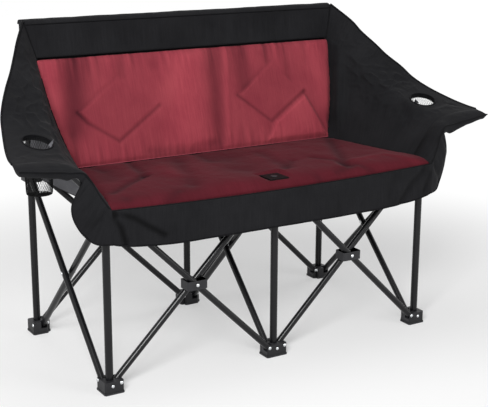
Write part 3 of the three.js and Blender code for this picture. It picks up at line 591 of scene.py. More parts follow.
for name, (x, y, arms) in COLUMNS.items():
    heads = {"foot": (1, FOOT_PIVOT_Z), "bracket": (-1, TOP_PIVOT_Z)}
    for kind, (lane_side, height) in heads.items():
        bm = bmesh.new()
        for angle in arms:
            for face in (-1, 1) if kind == "foot" else (lane_side,):
                out = Vector((0, face, 0)) @ Matrix.Rotation(-math.radians(angle), 3, "Z")
                add_dome(bm, arm_point(name, angle, PIVOT_OUT, face * BLOCK_HALF, height), out)
        if kind == "foot":
            for face in (-1, 1):
                add_dome(bm, (x, y + face * BLOCK_HALF, ANCHOR_PIN_Z), (0, face, 0),
                         ANCHOR_HEAD_R, ANCHOR_HEAD_H)
        make_piece(f"pin_heads_{kind}_{name}", bm, zinc, node_body[f"{kind}_{name}"], [])

for node in [n for n in node_body if n.startswith("rivet_")]:
    low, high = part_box(node)
    middle, half = (low + high) * 500 + Vector((0, ORIGIN_Y, 0)), (high - low) * 500
    way = Vector((1, 0, 0)) if half.x > half.y else Vector((0, 1, 0))
    reach = way * (max(half.x, half.y) - HEAD_H)
    bm = bmesh.new()
    add_dome(bm, middle - reach, -way)
    add_dome(bm, middle + reach, way)
    add_rod(bm, middle - reach, middle + reach, RIVET_R, 16)
    make_piece("domed_" + node, bm, zinc, node_body[node], [node])
print("rivet heads", HEAD_R * 2, "mm across")

# %% [markdown]
# Padding. A sewn pad swells where it is free and stays thin at its seams. A short cloth simulation with
# a little air pressure gives that: the pad is remeshed evenly, blown up for twenty frames, and no point
# may travel further than a cap, so that the pad stays where it is sewn. The helpers after it lay a plain
# grid into a panel or a sheet, and give cloth its UV map, its wrinkles and its painted shade.

# %% Cloth helpers
SIM_FRAMES = 20


def puff(piece, voxel_mm, pressure, cap_mm):
    """Blows a closed pad up as cloth, with no point further than cap_mm from where it was."""
    remesh = piece.modifiers.new("even_mesh", "REMESH")
    remesh.mode = "VOXEL"
    remesh.voxel_size = mm(voxel_mm)
    settle_modifiers(piece)
    start = [v.co.copy() for v in piece.data.vertices]
    cloth = piece.modifiers.new("air", "CLOTH")
    cloth.settings.use_pressure = True
    cloth.settings.uniform_pressure_force = pressure
    cloth.settings.effector_weights.gravity = 0
    cloth.settings.quality = 4
    cloth.collision_settings.use_collision = False
    cloth.point_cache.frame_start = 1
    cloth.point_cache.frame_end = SIM_FRAMES
    for step in range(1, SIM_FRAMES + 1):
        scene.frame_set(step)
    settle_modifiers(piece)
    scene.frame_set(1)
    for vertex, origin in zip(piece.data.vertices, start):
        move = vertex.co - origin
        if move.length > mm(cap_mm):
            vertex.co = origin + move.normalized() * mm(cap_mm)
    finer = piece.modifiers.new("finer", "SUBSURF")
    finer.levels = finer.render_levels = 1
    settle_modifiers(piece)
    for polygon in piece.data.polygons:
        polygon.use_smooth = True


def lay_uv(mesh, across, along):
    """A UV map in metres: two directions in the row frame that the threads follow."""
    layer = mesh.uv_layers.get("cloth") or mesh.uv_layers.new(name="cloth")
    for loop in mesh.loops:
        co = mesh.vertices[loop.vertex_index].co
        layer.data[loop.index].uv = (co.dot(across), co.dot(along))


def paint_shade_layer(mesh, depth_at):
    """Stores painted shade for each point, from 0 to 1: the share of the cloth's dark shade colour."""
    layer = mesh.attributes.get("painted_shade") or mesh.attributes.new("painted_shade", "FLOAT", "POINT")
    layer.data.foreach_set("value", [clamp(depth_at(v.co)) for v in mesh.vertices])


def wrinkle(point, size_mm, seed, octaves):
    """Smooth folds of about that size, the same on every run."""
    return noise.fractal(point * (1000 / size_mm) + Vector((seed, seed * 0.7, -seed)), 1.0, 2.0, octaves)


def ripple(*place):
    """Smooth noise at a place that is already scaled: about one ripple to every unit."""
    return noise.noise(Vector(place))


def unit_grid(across, along, width=None, height=None):
    """A grid one unit wide round its middle. A flat size in metres gives it a UV map for its threads."""
    bm = bmesh.new()
    bmesh.ops.create_grid(bm, x_segments=across, y_segments=along, size=0.5)
    if width:
        uv = bm.loops.layers.uv.new("cloth")
        for face in bm.faces:
            for loop in face.loops:
                loop[uv].uv = ((loop.vert.co.x + 0.5) * width, (loop.vert.co.y + 0.5) * height)
    return bm


def lay_grid(bm, place):
    """Moves every point of a unit grid to where place puts its shares of the width and the height."""
    for vertex in bm.verts:
        vertex.co = place(vertex.co.x + 0.5, vertex.co.y + 0.5)


print("cloth runs for", SIM_FRAMES, "frames")

# %% [markdown]
# Every sewn shape here is an edge or a crease that runs through a few points. These helpers say how far a
# point is from such a run, and ease and bell turn a distance into a soft step or a soft dent.

# %% Runs and creases
def ease(share):
    share = clamp(share)
    return share * share * (3 - 2 * share)


def bell(distance, width):
    return math.exp(-(distance / width) ** 2)


def run_distance(x, y, points):
    """Distance from a place to the nearest point of a run of straight stretches."""
    nearest = math.inf
    for (ax, ay), (bx, by) in zip(points, points[1:]):
        dx, dy = bx - ax, by - ay
        share = clamp(((x - ax) * dx + (y - ay) * dy) / (dx * dx + dy * dy))
        nearest = min(nearest, math.hypot(x - ax - dx * share, y - ay - dy * share))
    return nearest


def crease_depth(x, y, creases):
    """How deep a place lies in creases, each given as points, a width and a depth in millimetres."""
    return sum(depth * bell(run_distance(x, y, points), width) for points, width, depth in creases)


def plateau(x, y, loop, rise, slope):
    """A flat raised patch inside a closed run, with a slope of that width along its edge."""
    crossings = sum((ay > y) != (by > y) and x < ax + (y - ay) * (bx - ax) / (by - ay)
                    for (ax, ay), (bx, by) in zip(loop, loop[1:]))
    return rise * ease(run_distance(x, y, loop) / slope) if crossings % 2 else 0.0


print("a 12 mm crease is half as deep", round(12 * math.sqrt(math.log(2)), 1), "mm from its line")

# %% [markdown]
# The seat is one padded panel, longer in front than at the back, that rolls down over its front edge.
# It is made and blown up whole, creased where the wadding has bunched, and then cut at the two lines
# where the real one folds, because each part moves with another body of the frame.

# %% Seat shape
SEAT_Z, SEAT_THICK, SEAT_EDGE_THICK = 545, 22, 13
SEAT_FRONT_Y, SEAT_REAR_Y, ROLL_END_Y = -50, 380, 39
SEAT_FRONT_HALF, SEAT_REAR_HALF = BAY + 3, BAY - 82
EDGE_DROP, CORNER_DROP = 25, 14
SEAT_CUTS = (38.85, 267.5)
SEAT_LAP = 7


def seat_half(y):
    return mix(SEAT_FRONT_HALF, SEAT_REAR_HALF, (y - SEAT_FRONT_Y) / (SEAT_REAR_Y - SEAT_FRONT_Y))


def edge_drop(x):
    return mix(EDGE_DROP, CORNER_DROP, min(abs(x) / SEAT_FRONT_HALF, 1) ** 2)


def roll_share(y):
    return clamp((y - SEAT_FRONT_Y) / (ROLL_END_Y - SEAT_FRONT_Y))


def seat_top(x, y):
    return SEAT_Z - edge_drop(x) * (1 - roll_share(y)) ** 4


def seat_place(u, v):
    y = mix(SEAT_FRONT_Y + 1, SEAT_REAR_Y, v)
    x = (2 * u - 1) * (seat_half(y) + SEAT_LAP)
    return at(x, y, seat_top(x, y) - 2)


bm = unit_grid(110, 48)
lay_grid(bm, seat_place)
below = bmesh.ops.extrude_face_region(bm, geom=list(bm.faces))["geom"]
for vertex in [g for g in below if isinstance(g, bmesh.types.BMVert)]:
    vertex.co.z -= mm(mix(SEAT_EDGE_THICK, SEAT_THICK, roll_share(vertex.co.y * 1000 + ORIGIN_Y)))
seat = make_piece("seat_whole", bm, [seat_cloth_painted_darker, black_cloth], "seat_front")
puff(seat, voxel_mm=7, pressure=2.4, cap_mm=5)
print("seat points", len(seat.data.vertices))

# %% [markdown]
# The creases are vertex moves: each lowers the top along a short line. They run from the seam at the
# back to the corners in front, and leave soft hills between them. Under the switch the cloth lies flat.

# %% Seat creases
SEAT_CREASES = [
    ([(-289, 365), (-325, 183)], 17, 6.0), ([(-325, 183), (-410, 115), (-486, 50)], 15, 7.5),
    ([(-479, -15), (-478, -16)], 22, 5.0), ([(-144, 329), (-190, 210), (-255, 30)], 26, 5.0),
    ([(-240, 240), (-235, 130)], 34, -4.0), ([(-400, 300), (-430, 200)], 50, 4.0),
    ([(-315, -7), (-369, -45)], 14, 3.5), ([(115, 268), (86, 66)], 24, 4.5),
    ([(0, 300), (-40, 120)], 60, 3.5),
    ([(440, 355), (350, 190), (259, 13)], 19, 6.5), ([(221, 129), (259, 68), (259, 13)], 16, 5.0),
    ([(148, 133), (68, 52)], 15, 4.0), ([(291, 31), (428, 47), (502, -50)], 18, -4.0),
    ([(200, -26), (287, -4), (327, -50)], 13, 4.5), ([(126, -52), (128, -30)], 14, 3.5),
    ([(-60, 376), (-72, 250)], 22, 4.0), ([(-420, 376), (-405, 290)], 18, 4.0),
]
PATCH_Y, PATCH_FLAT, PATCH_Z = 6, 33, 541
# Painted shade on the seat: a base share of the shade colour, more in its creases, less on its hills.
SEAT_SHADE, CREASE_SHADE, WAVE_SHADE = 0.22, 0.06, 0.12


def seat_crease(x, y):
    return crease_depth(x, y, SEAT_CREASES)


def seat_wave(co):
    return wrinkle(co, 150, 3.0, 2)


for vertex in seat.data.vertices:
    x, y = vertex.co.x * 1000, vertex.co.y * 1000 + ORIGIN_Y
    if vertex.co.z < mm(seat_top(x, y) - 9):
        continue
    inside = max(1 - max(abs(x) / seat_half(y), abs(y - 165) / 215) ** 8, 0)
    wave = seat_wave(vertex.co) * 5.0 + wrinkle(vertex.co, 44, 8.0, 3) * 1.2
    vertex.co.z += mm((4.0 - seat_crease(x, y) + wave) * inside)
    flat = 1 - ease((max(abs(x), abs(y - PATCH_Y)) - PATCH_FLAT) / 16)
    vertex.co.z = mix(vertex.co.z, min(vertex.co.z, mm(PATCH_Z)), flat)
lay_uv(seat.data, Vector((1, 0, 0)), Vector((0, 1, 0)))


def seat_shade(co):
    """Painted shade and highlight: the cloth is painted darker down in its creases and paler on its hills.
    """
    crease = seat_crease(co.x * 1000, co.y * 1000 + ORIGIN_Y)
    return SEAT_SHADE + CREASE_SHADE * crease - WAVE_SHADE * seat_wave(co)


paint_shade_layer(seat.data, seat_shade)
print("seat creases", len(SEAT_CREASES))

# %% [markdown]
# Cutting with bisect_plane keeps each part's surface exactly where it was, so no step shows at rest. The
# holes are closed again, because a pad is a closed form. The underside is black lining cloth.

# %% Cut the seat in three
def cut_slab(source, name, low_y, high_y, body, replaced):
    """One part of the seat between two cuts across it, with its cut faces closed."""
    bm = bmesh.new()
    bm.from_mesh(source.data)
    for y, normal in ((low_y, Vector((0, -1, 0))), (high_y, Vector((0, 1, 0)))):
        if y is None:
            continue
        geom = list(bm.verts) + list(bm.edges) + list(bm.faces)
        cut = bmesh.ops.bisect_plane(bm, geom=geom, plane_co=at(0, y, 0), plane_no=normal, clear_outer=True)
        rim = [g for g in cut["geom_cut"] if isinstance(g, bmesh.types.BMEdge)]
        bmesh.ops.holes_fill(bm, edges=rim)
    for face in bm.faces:
        face.material_index = 1 if face.normal.z < -0.4 else 0
    return make_piece(name, bm, [seat_cloth_painted_darker, black_cloth], body, replaced)


SEAT_PARTS = {
    "seat_front_roll_pad": (None, SEAT_CUTS[0], "bracket_front_centre", ["seat_front_roll"]),
    "seat_front_pad": (SEAT_CUTS[0], SEAT_CUTS[1], "seat_front", ["seat_pad_front"]),
    "seat_rear_pad": (SEAT_CUTS[1], None, "seat_rear", ["seat_pad_rear"]),
}
for name, (low_y, high_y, body, replaced) in SEAT_PARTS.items():
    pad = cut_slab(seat, name, low_y, high_y, body, replaced)
bpy.data.objects.remove(seat)
print("seat parts", list(SEAT_PARTS))

# %% [markdown]
# The back pad leans on a plane from the seat seam to the black band. Two large diamonds are quilted into
# it, and the wadding is drawn in along each stitch line and swells between the lines.

# %% Back pad
BACK_LOW = Vector((0, 380, 547.4))
BACK_HIGH = Vector((0, 493, 860))
BACK_UP = (BACK_HIGH - BACK_LOW).normalized()
BACK_OUT = Vector((0, -BACK_UP.z, BACK_UP.y))
BACK_HEIGHT = (BACK_HIGH - BACK_LOW).length
BACK_LOW_HALF, BACK_HIGH_HALF = BAY - 82, BAY - 16
BACK_TUCK, SIDE_BOW, BACK_LAP, BACK_THICK = 9, 12, 8, 15


def back_half(s):
    share = clamp(s / BACK_HEIGHT)
    return mix(BACK_LOW_HALF, BACK_HIGH_HALF, share) + SIDE_BOW * math.sin(math.pi * share)


def back_place(x, s, proud):
    """A point x across and s up the back, standing proud of its plane."""
    point = BACK_LOW + BACK_UP * s + BACK_OUT * proud
    return at(x, point.y, point.z)


def back_coordinates(co):
    local = Vector((co.x * 1000, co.y * 1000 + ORIGIN_Y, co.z * 1000)) - BACK_LOW
    return local.x, local.dot(BACK_UP), local.dot(BACK_OUT)


def pad_place(u, v):
    s = mix(-BACK_TUCK, BACK_HEIGHT - 1, v)
    return back_place((2 * u - 1) * (back_half(s) + BACK_LAP), s, 2)


bm = unit_grid(110, 38)
lay_grid(bm, pad_place)
behind = bmesh.ops.extrude_face_region(bm, geom=list(bm.faces))["geom"]
for vertex in [g for g in behind if isinstance(g, bmesh.types.BMVert)]:
    vertex.co -= BACK_OUT * mm(BACK_THICK)
back = make_piece("back_quilted_pad", bm, wine_cloth, "column_rear_centre", ["back_pad"])
puff(back, voxel_mm=6.5, pressure=2.6, cap_mm=5)
print("back pad points", len(back.data.vertices))

# %% Back quilting
DIAMONDS = [
    [(-283, 251), (-151, 157), (-302, 61), (-393, 126), (-418, 161), (-283, 251)],
    [(277, 267), (133, 165), (241, 70), (386, 158), (277, 267)],
]
DIAMOND_STITCH = [(DIAMONDS[0][:2], 8, 1.2), (DIAMONDS[0][1:5], 8, 4.0), (DIAMONDS[0][4:], 8, 1.8),
                  (DIAMONDS[1][:2], 8, 2.2), (DIAMONDS[1][1:4], 8, 4.0), (DIAMONDS[1][3:], 8, 1.2)]
FULL_CORNER = [(386, 155), (244, 68), (205, 2), (460, 2), (386, 155)]
BACK_PLATES = [(DIAMONDS[0], -1.5, 20), (DIAMONDS[1], -1.5, 20), (FULL_CORNER, 8.0, 15)]
BACK_FOLDS = [
    ([(-400, 335), (-420, 198), (-440, 120)], 44, 12.0), ([(-490, 335), (-480, 60)], 30, -5.0),
    ([(-40, 335), (-62, 41)], 75, -7.0), ([(72, 335), (46, 27)], 28, 9.0),
    ([(113, 335), (67, 5)], 13, -4.5), ([(160, 335), (174, 190)], 34, 8.5),
    ([(345, 325), (335, 163)], 15, 4.5), ([(452, 335), (470, 120)], 38, -6.0),
    ([(388, 150), (448, 15)], 10, 5.0), ([(265, 335), (263, 270)], 13, 4.5),
    ([(-250, 335), (-262, 262)], 16, 4.0), ([(-448, 90), (-450, 5)], 16, 5.0),
    ([(-205, 14), (-68, 6), (20, 16)], 17, 7.0), ([(-150, 335), (-146, 285)], 20, 4.0),
]
# Painted shade on the back: a base share of the shade colour, more in folds and stitches, less on puckers.
BACK_SHADE, DENT_SHADE, STITCH_SHADE, GATHER_SHADE = 0.27, 0.042, 0.34, 0.3


def back_stitch(x, s):
    return max(depth * bell(run_distance(x, s, run), width) for run, width, depth in DIAMOND_STITCH)


def back_dent(x, s):
    """How deep the back dips at a place, from its broad folds and its quilted plates."""
    stretched = sum(plateau(x, s, loop, 0.85, 10) for loop in DIAMONDS)
    plates = sum(plateau(x, s, *plate) for plate in BACK_PLATES)
    return crease_depth(x, s, BACK_FOLDS) * (1 - stretched) - plates


def gathers(x, s):
    """Small upright puckers where the cloth is gathered into the top and bottom seams."""
    near = bell(s, 58) + bell(BACK_HEIGHT - s, 66)
    folds = ripple(x / 17, s / 160, 2.0) + 0.5 * ripple(x / 8, s / 120, 7.0)
    return folds * near


for vertex in back.data.vertices:
    x, s, proud = back_coordinates(vertex.co)
    if proud < -6:
        continue
    inside = max(1 - max(abs(x) / back_half(s), abs(2 * s / BACK_HEIGHT - 1)) ** 10, 0)
    broad = wrinkle(vertex.co, 230, 5.0, 2) * 2.5 + wrinkle(vertex.co, 60, 2.0, 2) * 0.9
    dent = back_stitch(x, s) + back_dent(x, s)
    vertex.co += BACK_OUT * mm((5.0 - dent + broad) * inside + 2.6 * gathers(x, s))
lay_uv(back.data, Vector((1, 0, 0)), BACK_UP)


def back_shade(co):
    """Painted shade in folds, stitches and sunken diamonds; painted highlight on ridges and puckers."""
    x, s, _ = back_coordinates(co)
    stitch = (back_stitch(x, s) / 4) ** 2
    return BACK_SHADE + DENT_SHADE * back_dent(x, s) + STITCH_SHADE * stitch - GATHER_SHADE * gathers(x, s)


paint_shade_layer(back.data, back_shade)
print("diamonds", len(DIAMONDS))

# %% [markdown]
# The black shell behind the pad is one sewn cover: a rear skin, a gathered band above the pad, a padded
# roll over the top of the three rear posts, and a pocket for each post. A closed outline is drawn once
# as a strip of points and carried across the width by a grid, whose last row is welded to its first.

# %% Back shell
SHELL_PROFILE = [
    (493, 861), (496, 885), (501, 915), (506, 938), (509, 952), (514, 961), (521, 968), (533, 971.5),
    (546, 969), (553, 963), (555, 957), (549, 955.6), (533, 955.6), (522, 953), (519, 940), (517, 915),
    (518, 885), (515.8, 861), (505, 826), (480, 757), (452, 680), (402, 538), (396, 538), (446, 680),
    (474, 757), (499, 826), (509.5, 858),
]
HEM_HALF, SKIN_LAP = BAY + 14, 8
BAND_Z, ROLL_Z = 860, 956
SKIN_BASE_Z, SKIN_RISE, SKIN_SLACK_Z = 548, 312, 850


def shell_half(z):
    """Half the cover's width at a height: the skin's behind the pad, the band's above it."""
    if z > BAND_Z:
        return mix(BACK_HIGH_HALF, HEM_HALF - 1, min((z - BAND_Z) / 90, 1))
    return back_half((z - SKIN_BASE_Z) / SKIN_RISE * BACK_HEIGHT) + SKIN_LAP * ease((BAND_Z - z) / 20)


def profile_at(share):
    """A point on the closed outline, by its share of the way round."""
    place = share * len(SHELL_PROFILE)
    index = int(place) % len(SHELL_PROFILE)
    a, b = SHELL_PROFILE[index], SHELL_PROFILE[(index + 1) % len(SHELL_PROFILE)]
    return mix(a[0], b[0], place % 1), mix(a[1], b[1], place % 1)


def closed_loft(across, around, place):
    """A tube-like skin: a grid whose second direction closes on itself, with its two ends filled."""
    bm = unit_grid(across, around)
    lay_grid(bm, place)
    bmesh.ops.remove_doubles(bm, verts=bm.verts, dist=mm(0.01))
    bmesh.ops.holes_fill(bm, edges=[e for e in bm.edges if e.is_boundary])
    return bm


def shell_place(u, v):
    y, z = profile_at(v)
    x = (2 * u - 1) * shell_half(z)
    if BAND_Z + 2 < z < ROLL_Z and y < 514:
        height = clamp((z - BAND_Z) / 95)
        folds = ripple(x / 24, z / 300, 4.0) * 3.6 + ripple(x / 9, z / 200, 9.0)
        ends = ease((1 - abs(2 * u - 1)) / 0.05)
        y += (folds * math.sin(math.pi * height) ** 0.5 + 4.0 * math.sin(math.pi * height)) * ends
    elif z > ROLL_Z:
        z += ripple(x / 40, y / 40, 1.0) * 1.2 - 0.6
    elif z < SKIN_SLACK_Z:
        y += ripple(x / 110, z / 90, 6.0) * 4.0 * math.sin(math.pi * (SKIN_SLACK_Z - z) / SKIN_RISE)
    return at(x, y, z)


POCKET_R, POCKET_WALL, POCKET_SPAN = 15, 3.4, (880, 955.4)
bm = closed_loft(150, len(SHELL_PROFILE) * 3, shell_place)
for x in (-BAY, 0, BAY):
    add_tube(bm, *[(x, BAY, z) for z in POCKET_SPAN], POCKET_R, POCKET_WALL)
shell = make_piece("back_shell", bm, black_cloth, "column_rear_centre", ["back_panel"],
                   sharp=math.radians(60))
lay_uv(shell.data, Vector((1, 0, 0)), BACK_UP)
print("shell outline points", len(SHELL_PROFILE))

# %% [markdown]
# Piping is a cord wrapped in tape and sewn into a seam. It is swept along a path: a ring carried from
# point to point, with its two ends closed. The seams of the back are burgundy below and black above.

# %% Piping
CORD_SIDES = 10


def shares(count):
    """Evenly spaced shares of the way, from 0 to 1."""
    return [i / count for i in range(count + 1)]


def curve_point(points, share):
    """One point of the smooth curve through the given ones, by its share of the way."""
    stretches = len(points) - 1
    place = clamp(share) * stretches
    k = min(int(place), stretches - 1)
    t = place - k
    p = [Vector(points[min(max(k + j, 0), stretches)]) for j in (-1, 0, 1, 2)]
    if k == 0:
        p[0] = p[1] * 2 - p[2]
    if k == stretches - 1:
        p[3] = p[2] * 2 - p[1]
    return 0.5 * (2 * p[1] + (p[2] - p[0]) * t + (2 * p[0] - 5 * p[1] + 4 * p[2] - p[3]) * t * t
                  + (3 * p[1] - p[0] - 3 * p[2] + p[3]) * t ** 3)


def add_cord(bm, path, radius):
    """Sweeps a round cord of that radius along a list of points in millimetres."""
    last = sweep_ring(bm, [at(*p) for p in path], radius, CORD_SIDES, cap_ends=True)
    bmesh.ops.holes_fill(bm, edges=last)


def cord_piece(name, body, cords, material=tape):
    """One trim piece of taped cords, each given as its path and its radius."""
    bm = bmesh.new()
    for path, radius in cords:
        add_cord(bm, path, radius)
    return make_piece(name, bm, material, body, [])


BACK_SEAMS = {
    "back_top_piping": ([(x, 511, 957) for x in range(-546, 547, 12)], 2.6, tape, "black_cloth"),
    "back_band_seam": ([(x, 490, 861.5) for x in range(-516, 517, 12)], 1.8, tape, "black_cloth"),
    "back_seat_seam": ([(x, 374.5, 547.5) for x in range(-450, 451, 12)], 1.3, wine_tape, "wine_cloth"),
}
for name, (path, radius, material, slot) in BACK_SEAMS.items():
    cord_piece(name, "column_rear_centre", [(path, radius)], material)
print("seams on the back", len(BACK_SEAMS))

# %% [markdown]
# Each wing is a padded sheet stretched between four edges: the seat side, the back, the front and the
# free outer edge that falls from the top of the back to the arm's tip. A patch that blends its four
# edges gives the smooth hollow, and folds of a few sizes give the slack, crumpled look.

# %% Wing surface
WING_REAR = [Vector(p) for p in ((451.5, 380, 543), (517.5, 493, 860), (546, 512, 968))]
WING_FRONT = [Vector(p) for p in ((527, 25, 543), (560, 25, 589), (605, 25, 637), (646, 25, 657),
                                  (702, 25, 664.5), (776, 25, 667))]
WING_OUTER = [Vector(p) for p in ((546, 512, 968), (589, 452, 917), (611, 422, 881), (639, 380, 842),
                                  (664, 350, 808), (692, 305, 773), (712, 267, 740), (732, 205, 711),
                                  (756, 124, 685), (770, 66, 672), (776, 25, 667))]
WING_STEPS = 100


def run_point(points, share):
    """One point of the straight run through the given ones, by its share of the way."""
    place = clamp(share) * (len(points) - 1)
    k = min(int(place), len(points) - 2)
    return points[k].lerp(points[k + 1], place - k)


def wing_point(u, v):
    """The wing's inner face: u from rear to front, v from the seat to the outer edge."""
    low = WING_REAR[0].lerp(WING_FRONT[0], u)
    high = curve_point(WING_OUTER, u)
    rear, front = run_point(WING_REAR, v), curve_point(WING_FRONT, v)
    rear.x += SIDE_BOW * math.sin(math.pi * clamp(2 * v))
    corners = low.lerp(WING_REAR[-1].lerp(WING_FRONT[-1], u), v)
    return low.lerp(high, v) + rear.lerp(front, u) - corners


def wing_normal(u, v):
    """The direction out of the wing, away from the sitter."""
    step = 0.01
    u, v = min(max(u, step), 1 - step), min(max(v, step), 1 - step)
    along = wing_point(u + step, v) - wing_point(u - step, v)
    up = wing_point(u, v + step) - wing_point(u, v - step)
    return up.cross(along).normalized()


wing_frame = {(i, j): (wing_point(u, v), wing_normal(u, v))
              for i, u in enumerate(shares(WING_STEPS)) for j, v in enumerate(shares(WING_STEPS))}
print("wing tip at", [round(c) for c in wing_point(1, 1)])

# %% [markdown]
# The drink hole is round from above and lies in the wing's own slope. A few steps of Newton's method
# find its centre on the patch, and the stiff ring in its hem keeps the cloth around it flat.

# %% Drink hole
HOLE_X, HOLE_Y, HOLE_R = BAY + 123, 147, 40.5


def hole_share():
    """The place of the hole's centre on the patch."""
    u = v = 0.6
    for _ in range(12):
        here = wing_point(u, v)
        du = (wing_point(u + 0.01, v) - here) * 100
        dv = (wing_point(u, v + 0.01) - here) * 100
        off_x, off_y = HOLE_X - here.x, HOLE_Y - here.y
        area = du.x * dv.y - du.y * dv.x
        u += (off_x * dv.y - off_y * dv.x) / area
        v += (off_y * du.x - off_x * du.y) / area
    return u, v


hole_u, hole_v = hole_share()
HOLE = wing_point(hole_u, hole_v)
HOLE_WAY = wing_normal(hole_u, hole_v)


def ring_z(x, y):
    """Height of the hole's own plane."""
    return HOLE.z - ((x - HOLE.x) * HOLE_WAY.x + (y - HOLE.y) * HOLE_WAY.y) / HOLE_WAY.z


lean = math.degrees(math.acos(abs(HOLE_WAY.z)))
print("hole at", [round(c) for c in HOLE], "leaning", round(lean), "degrees")

# %% [markdown]
# The folds of the wing are the wrinkles of slack cloth: long across the free edge, short and sharp
# between the hole and the back. The wing is one sheet first, and Solidify gives it its padding.

# %% Wings
WING_THICK = 15
WING_SWELL = {-1: 0, 1: 26}
WING_CREASES = [([(740, 75), (706, 96)], 9, 3.5), ([(722, 150), (700, 160)], 8, 2.5),
                ([(640, 215), (600, 262), (588, 300)], 10, 3.5),
                ([(612, 190), (585, 150), (572, 110)], 10, 3.0)]


def wing_fold(u, v, point, side):
    """How far slack folds push the wing towards the sitter, in millimetres."""
    upper = ease((v - 0.12) / 0.4) * (1 - v ** 14) * (0.35 + 0.65 * bell(u - 0.5, 0.33))
    shift = side * 7.3
    broad = ripple(point.x / 85 + shift, point.y / 60, point.z / 70) * 7.5
    ridge = 1 - abs(ripple(point.x / 34, point.y / 42 + shift, point.z / 26)) * 2.2
    fine = ripple(point.x / 17, point.y / 15, point.z / 12 + shift) * 1.5
    swell = WING_SWELL[side] * bell(u - 0.09, 0.07) * math.sin(math.pi * min(v / 0.55, 1))
    folds = upper * (broad + 6.5 * max(ridge, 0) ** 2 + fine) + swell
    return folds - crease_depth(point.x, point.y, WING_CREASES)


def from_hole(co, side):
    """The way from the hole's centre to a point, seen from above, in millimetres."""
    return (co * 1000 - Vector((side * HOLE.x, HOLE.y - ORIGIN_Y, 0))).xy


def wing_sheet(side):
    """The wing's inner face as an open sheet, with its drink hole."""
    bm = unit_grid(WING_STEPS, WING_STEPS, 0.5, 0.4)
    deform = bm.verts.layers.deform.new()
    for vertex in bm.verts:
        u, v = vertex.co.x + 0.5, vertex.co.y + 0.5
        base, normal = wing_frame[round(u * WING_STEPS), round(v * WING_STEPS)]
        rim = (1 - abs(2 * u - 1) ** 8) * (1 - abs(2 * v - 1) ** 8)
        free = ease((math.hypot(base.x - HOLE.x, base.y - HOLE.y) - 46) / 34)
        point = base - normal * (wing_fold(u, v, base, side) * rim * free)
        point.z = mix(ring_z(point.x, point.y), point.z, free)
        vertex.co = at(side * point.x, point.y, point.z)
        vertex[deform][0] = max(rim, 0) ** 0.5
    inside = [f for f in bm.faces if from_hole(f.calc_center_median(), side).length < HOLE_R - 2]
    bmesh.ops.delete(bm, geom=inside, context="FACES")
    for vertex in bm.verts:
        away = from_hole(vertex.co, side)
        if vertex.is_boundary and away.length < HOLE_R + 10:
            spot = away.normalized() * HOLE_R
            x, y = HOLE.x + side * spot.x, HOLE.y + spot.y
            vertex.co = at(side * x, y, ring_z(x, y))
    if side < 0:
        bmesh.ops.reverse_faces(bm, faces=bm.faces)
    return bm


ARM_BODY = {name: f"brace_front_centre_to_front_{name}" for name in SIDES}
arm_pieces = {name: [] for name in SIDES}
for name, side in SIDES.items():
    wing = make_piece(f"wing_{name}", wing_sheet(side), [black_cloth, lining_cloth], ARM_BODY[name],
                      [f"arm_panel_{name}"], outward=False)
    wing.vertex_groups.new(name="padding")
    padding = wing.modifiers.new("padding", "SOLIDIFY")
    padding.thickness = mm(WING_THICK)
    padding.offset = -1
    padding.vertex_group = "padding"
    padding.thickness_vertex_group = 0.3
    padding.material_offset = 1
    padding.material_offset_rim = 0
    settle_modifiers(wing)
    wing.vertex_groups.clear()
    arm_pieces[name].append(wing)
print("wings", {k: len(p[0].data.vertices) for k, p in arm_pieces.items()})

# %% [markdown]
# Wing trim: a tape covered cord along the free edge and down each seam, and a stiff ring in the hem of
# the drink hole.

# %% Wing trim
def ring_point(angle, radius, down=0.0):
    """A point round the drink hole, in the hole's own plane or below it, on the right-hand side."""
    x, y = HOLE.x + radius * math.cos(angle), HOLE.y + radius * math.sin(angle)
    return Vector((x, y, ring_z(x, y) - down))


def mirrored(path, side):
    return [(side * p.x, p.y, p.z) for p in path]


SEAM_PROUD = Vector((-0.5, -1.0, 0.6))
free_edge = [wing_point(s, 1) for s in shares(60)]
seams = [wing_point(0, s) for s in shares(24)[::-1]] + [wing_point(s, 0) for s in shares(24)[1:]]
ring_path = [ring_point(s * math.tau, HOLE_R) for s in shares(60)]
wing_cords = [(free_edge, 3.0), ([p + SEAM_PROUD for p in seams], 1.9), (ring_path, 2.6)]
for name, side in SIDES.items():
    cords = [(mirrored(path, side), radius) for path, radius in wing_cords]
    arm_pieces[name].append(cord_piece(f"wing_piping_{name}", ARM_BODY[name], cords))
print("trim added to", list(arm_pieces))

# %% [markdown]
# The arm band is the padded sleeve that covers the bent rail along the front of the arm. Its top runs
# from the wing's front edge to a piped front edge. Below, it is full at the bend, where the padding
# bunches into a lobe, and thinner towards its pointed tip.

# %% Arm bands
BAND_FRONT = [Vector(p) for p in ((538.5, -51.5, 529), (564, -42, 568), (586, -33, 612), (606, -28, 634),
                                  (640, -27, 638), (669, -27, 643), (706, -27, 647), (747, -27, 653),
                                  (777, -28, 657))]
BAND_DEPTH, BAND_TAPER, BAND_CROWN = 27, 5, 5
BAND_LOBES = {-1: 2, 1: 14}


def band_down(u):
    """The way down and out of the rail at that share of the band."""
    angle = mix(OPEN_ANGLE, OPEN_ANGLE - RAIL_BEND, ease((u - 0.36) / 0.2))
    return Vector((math.sin(angle), 0, -math.cos(angle)))


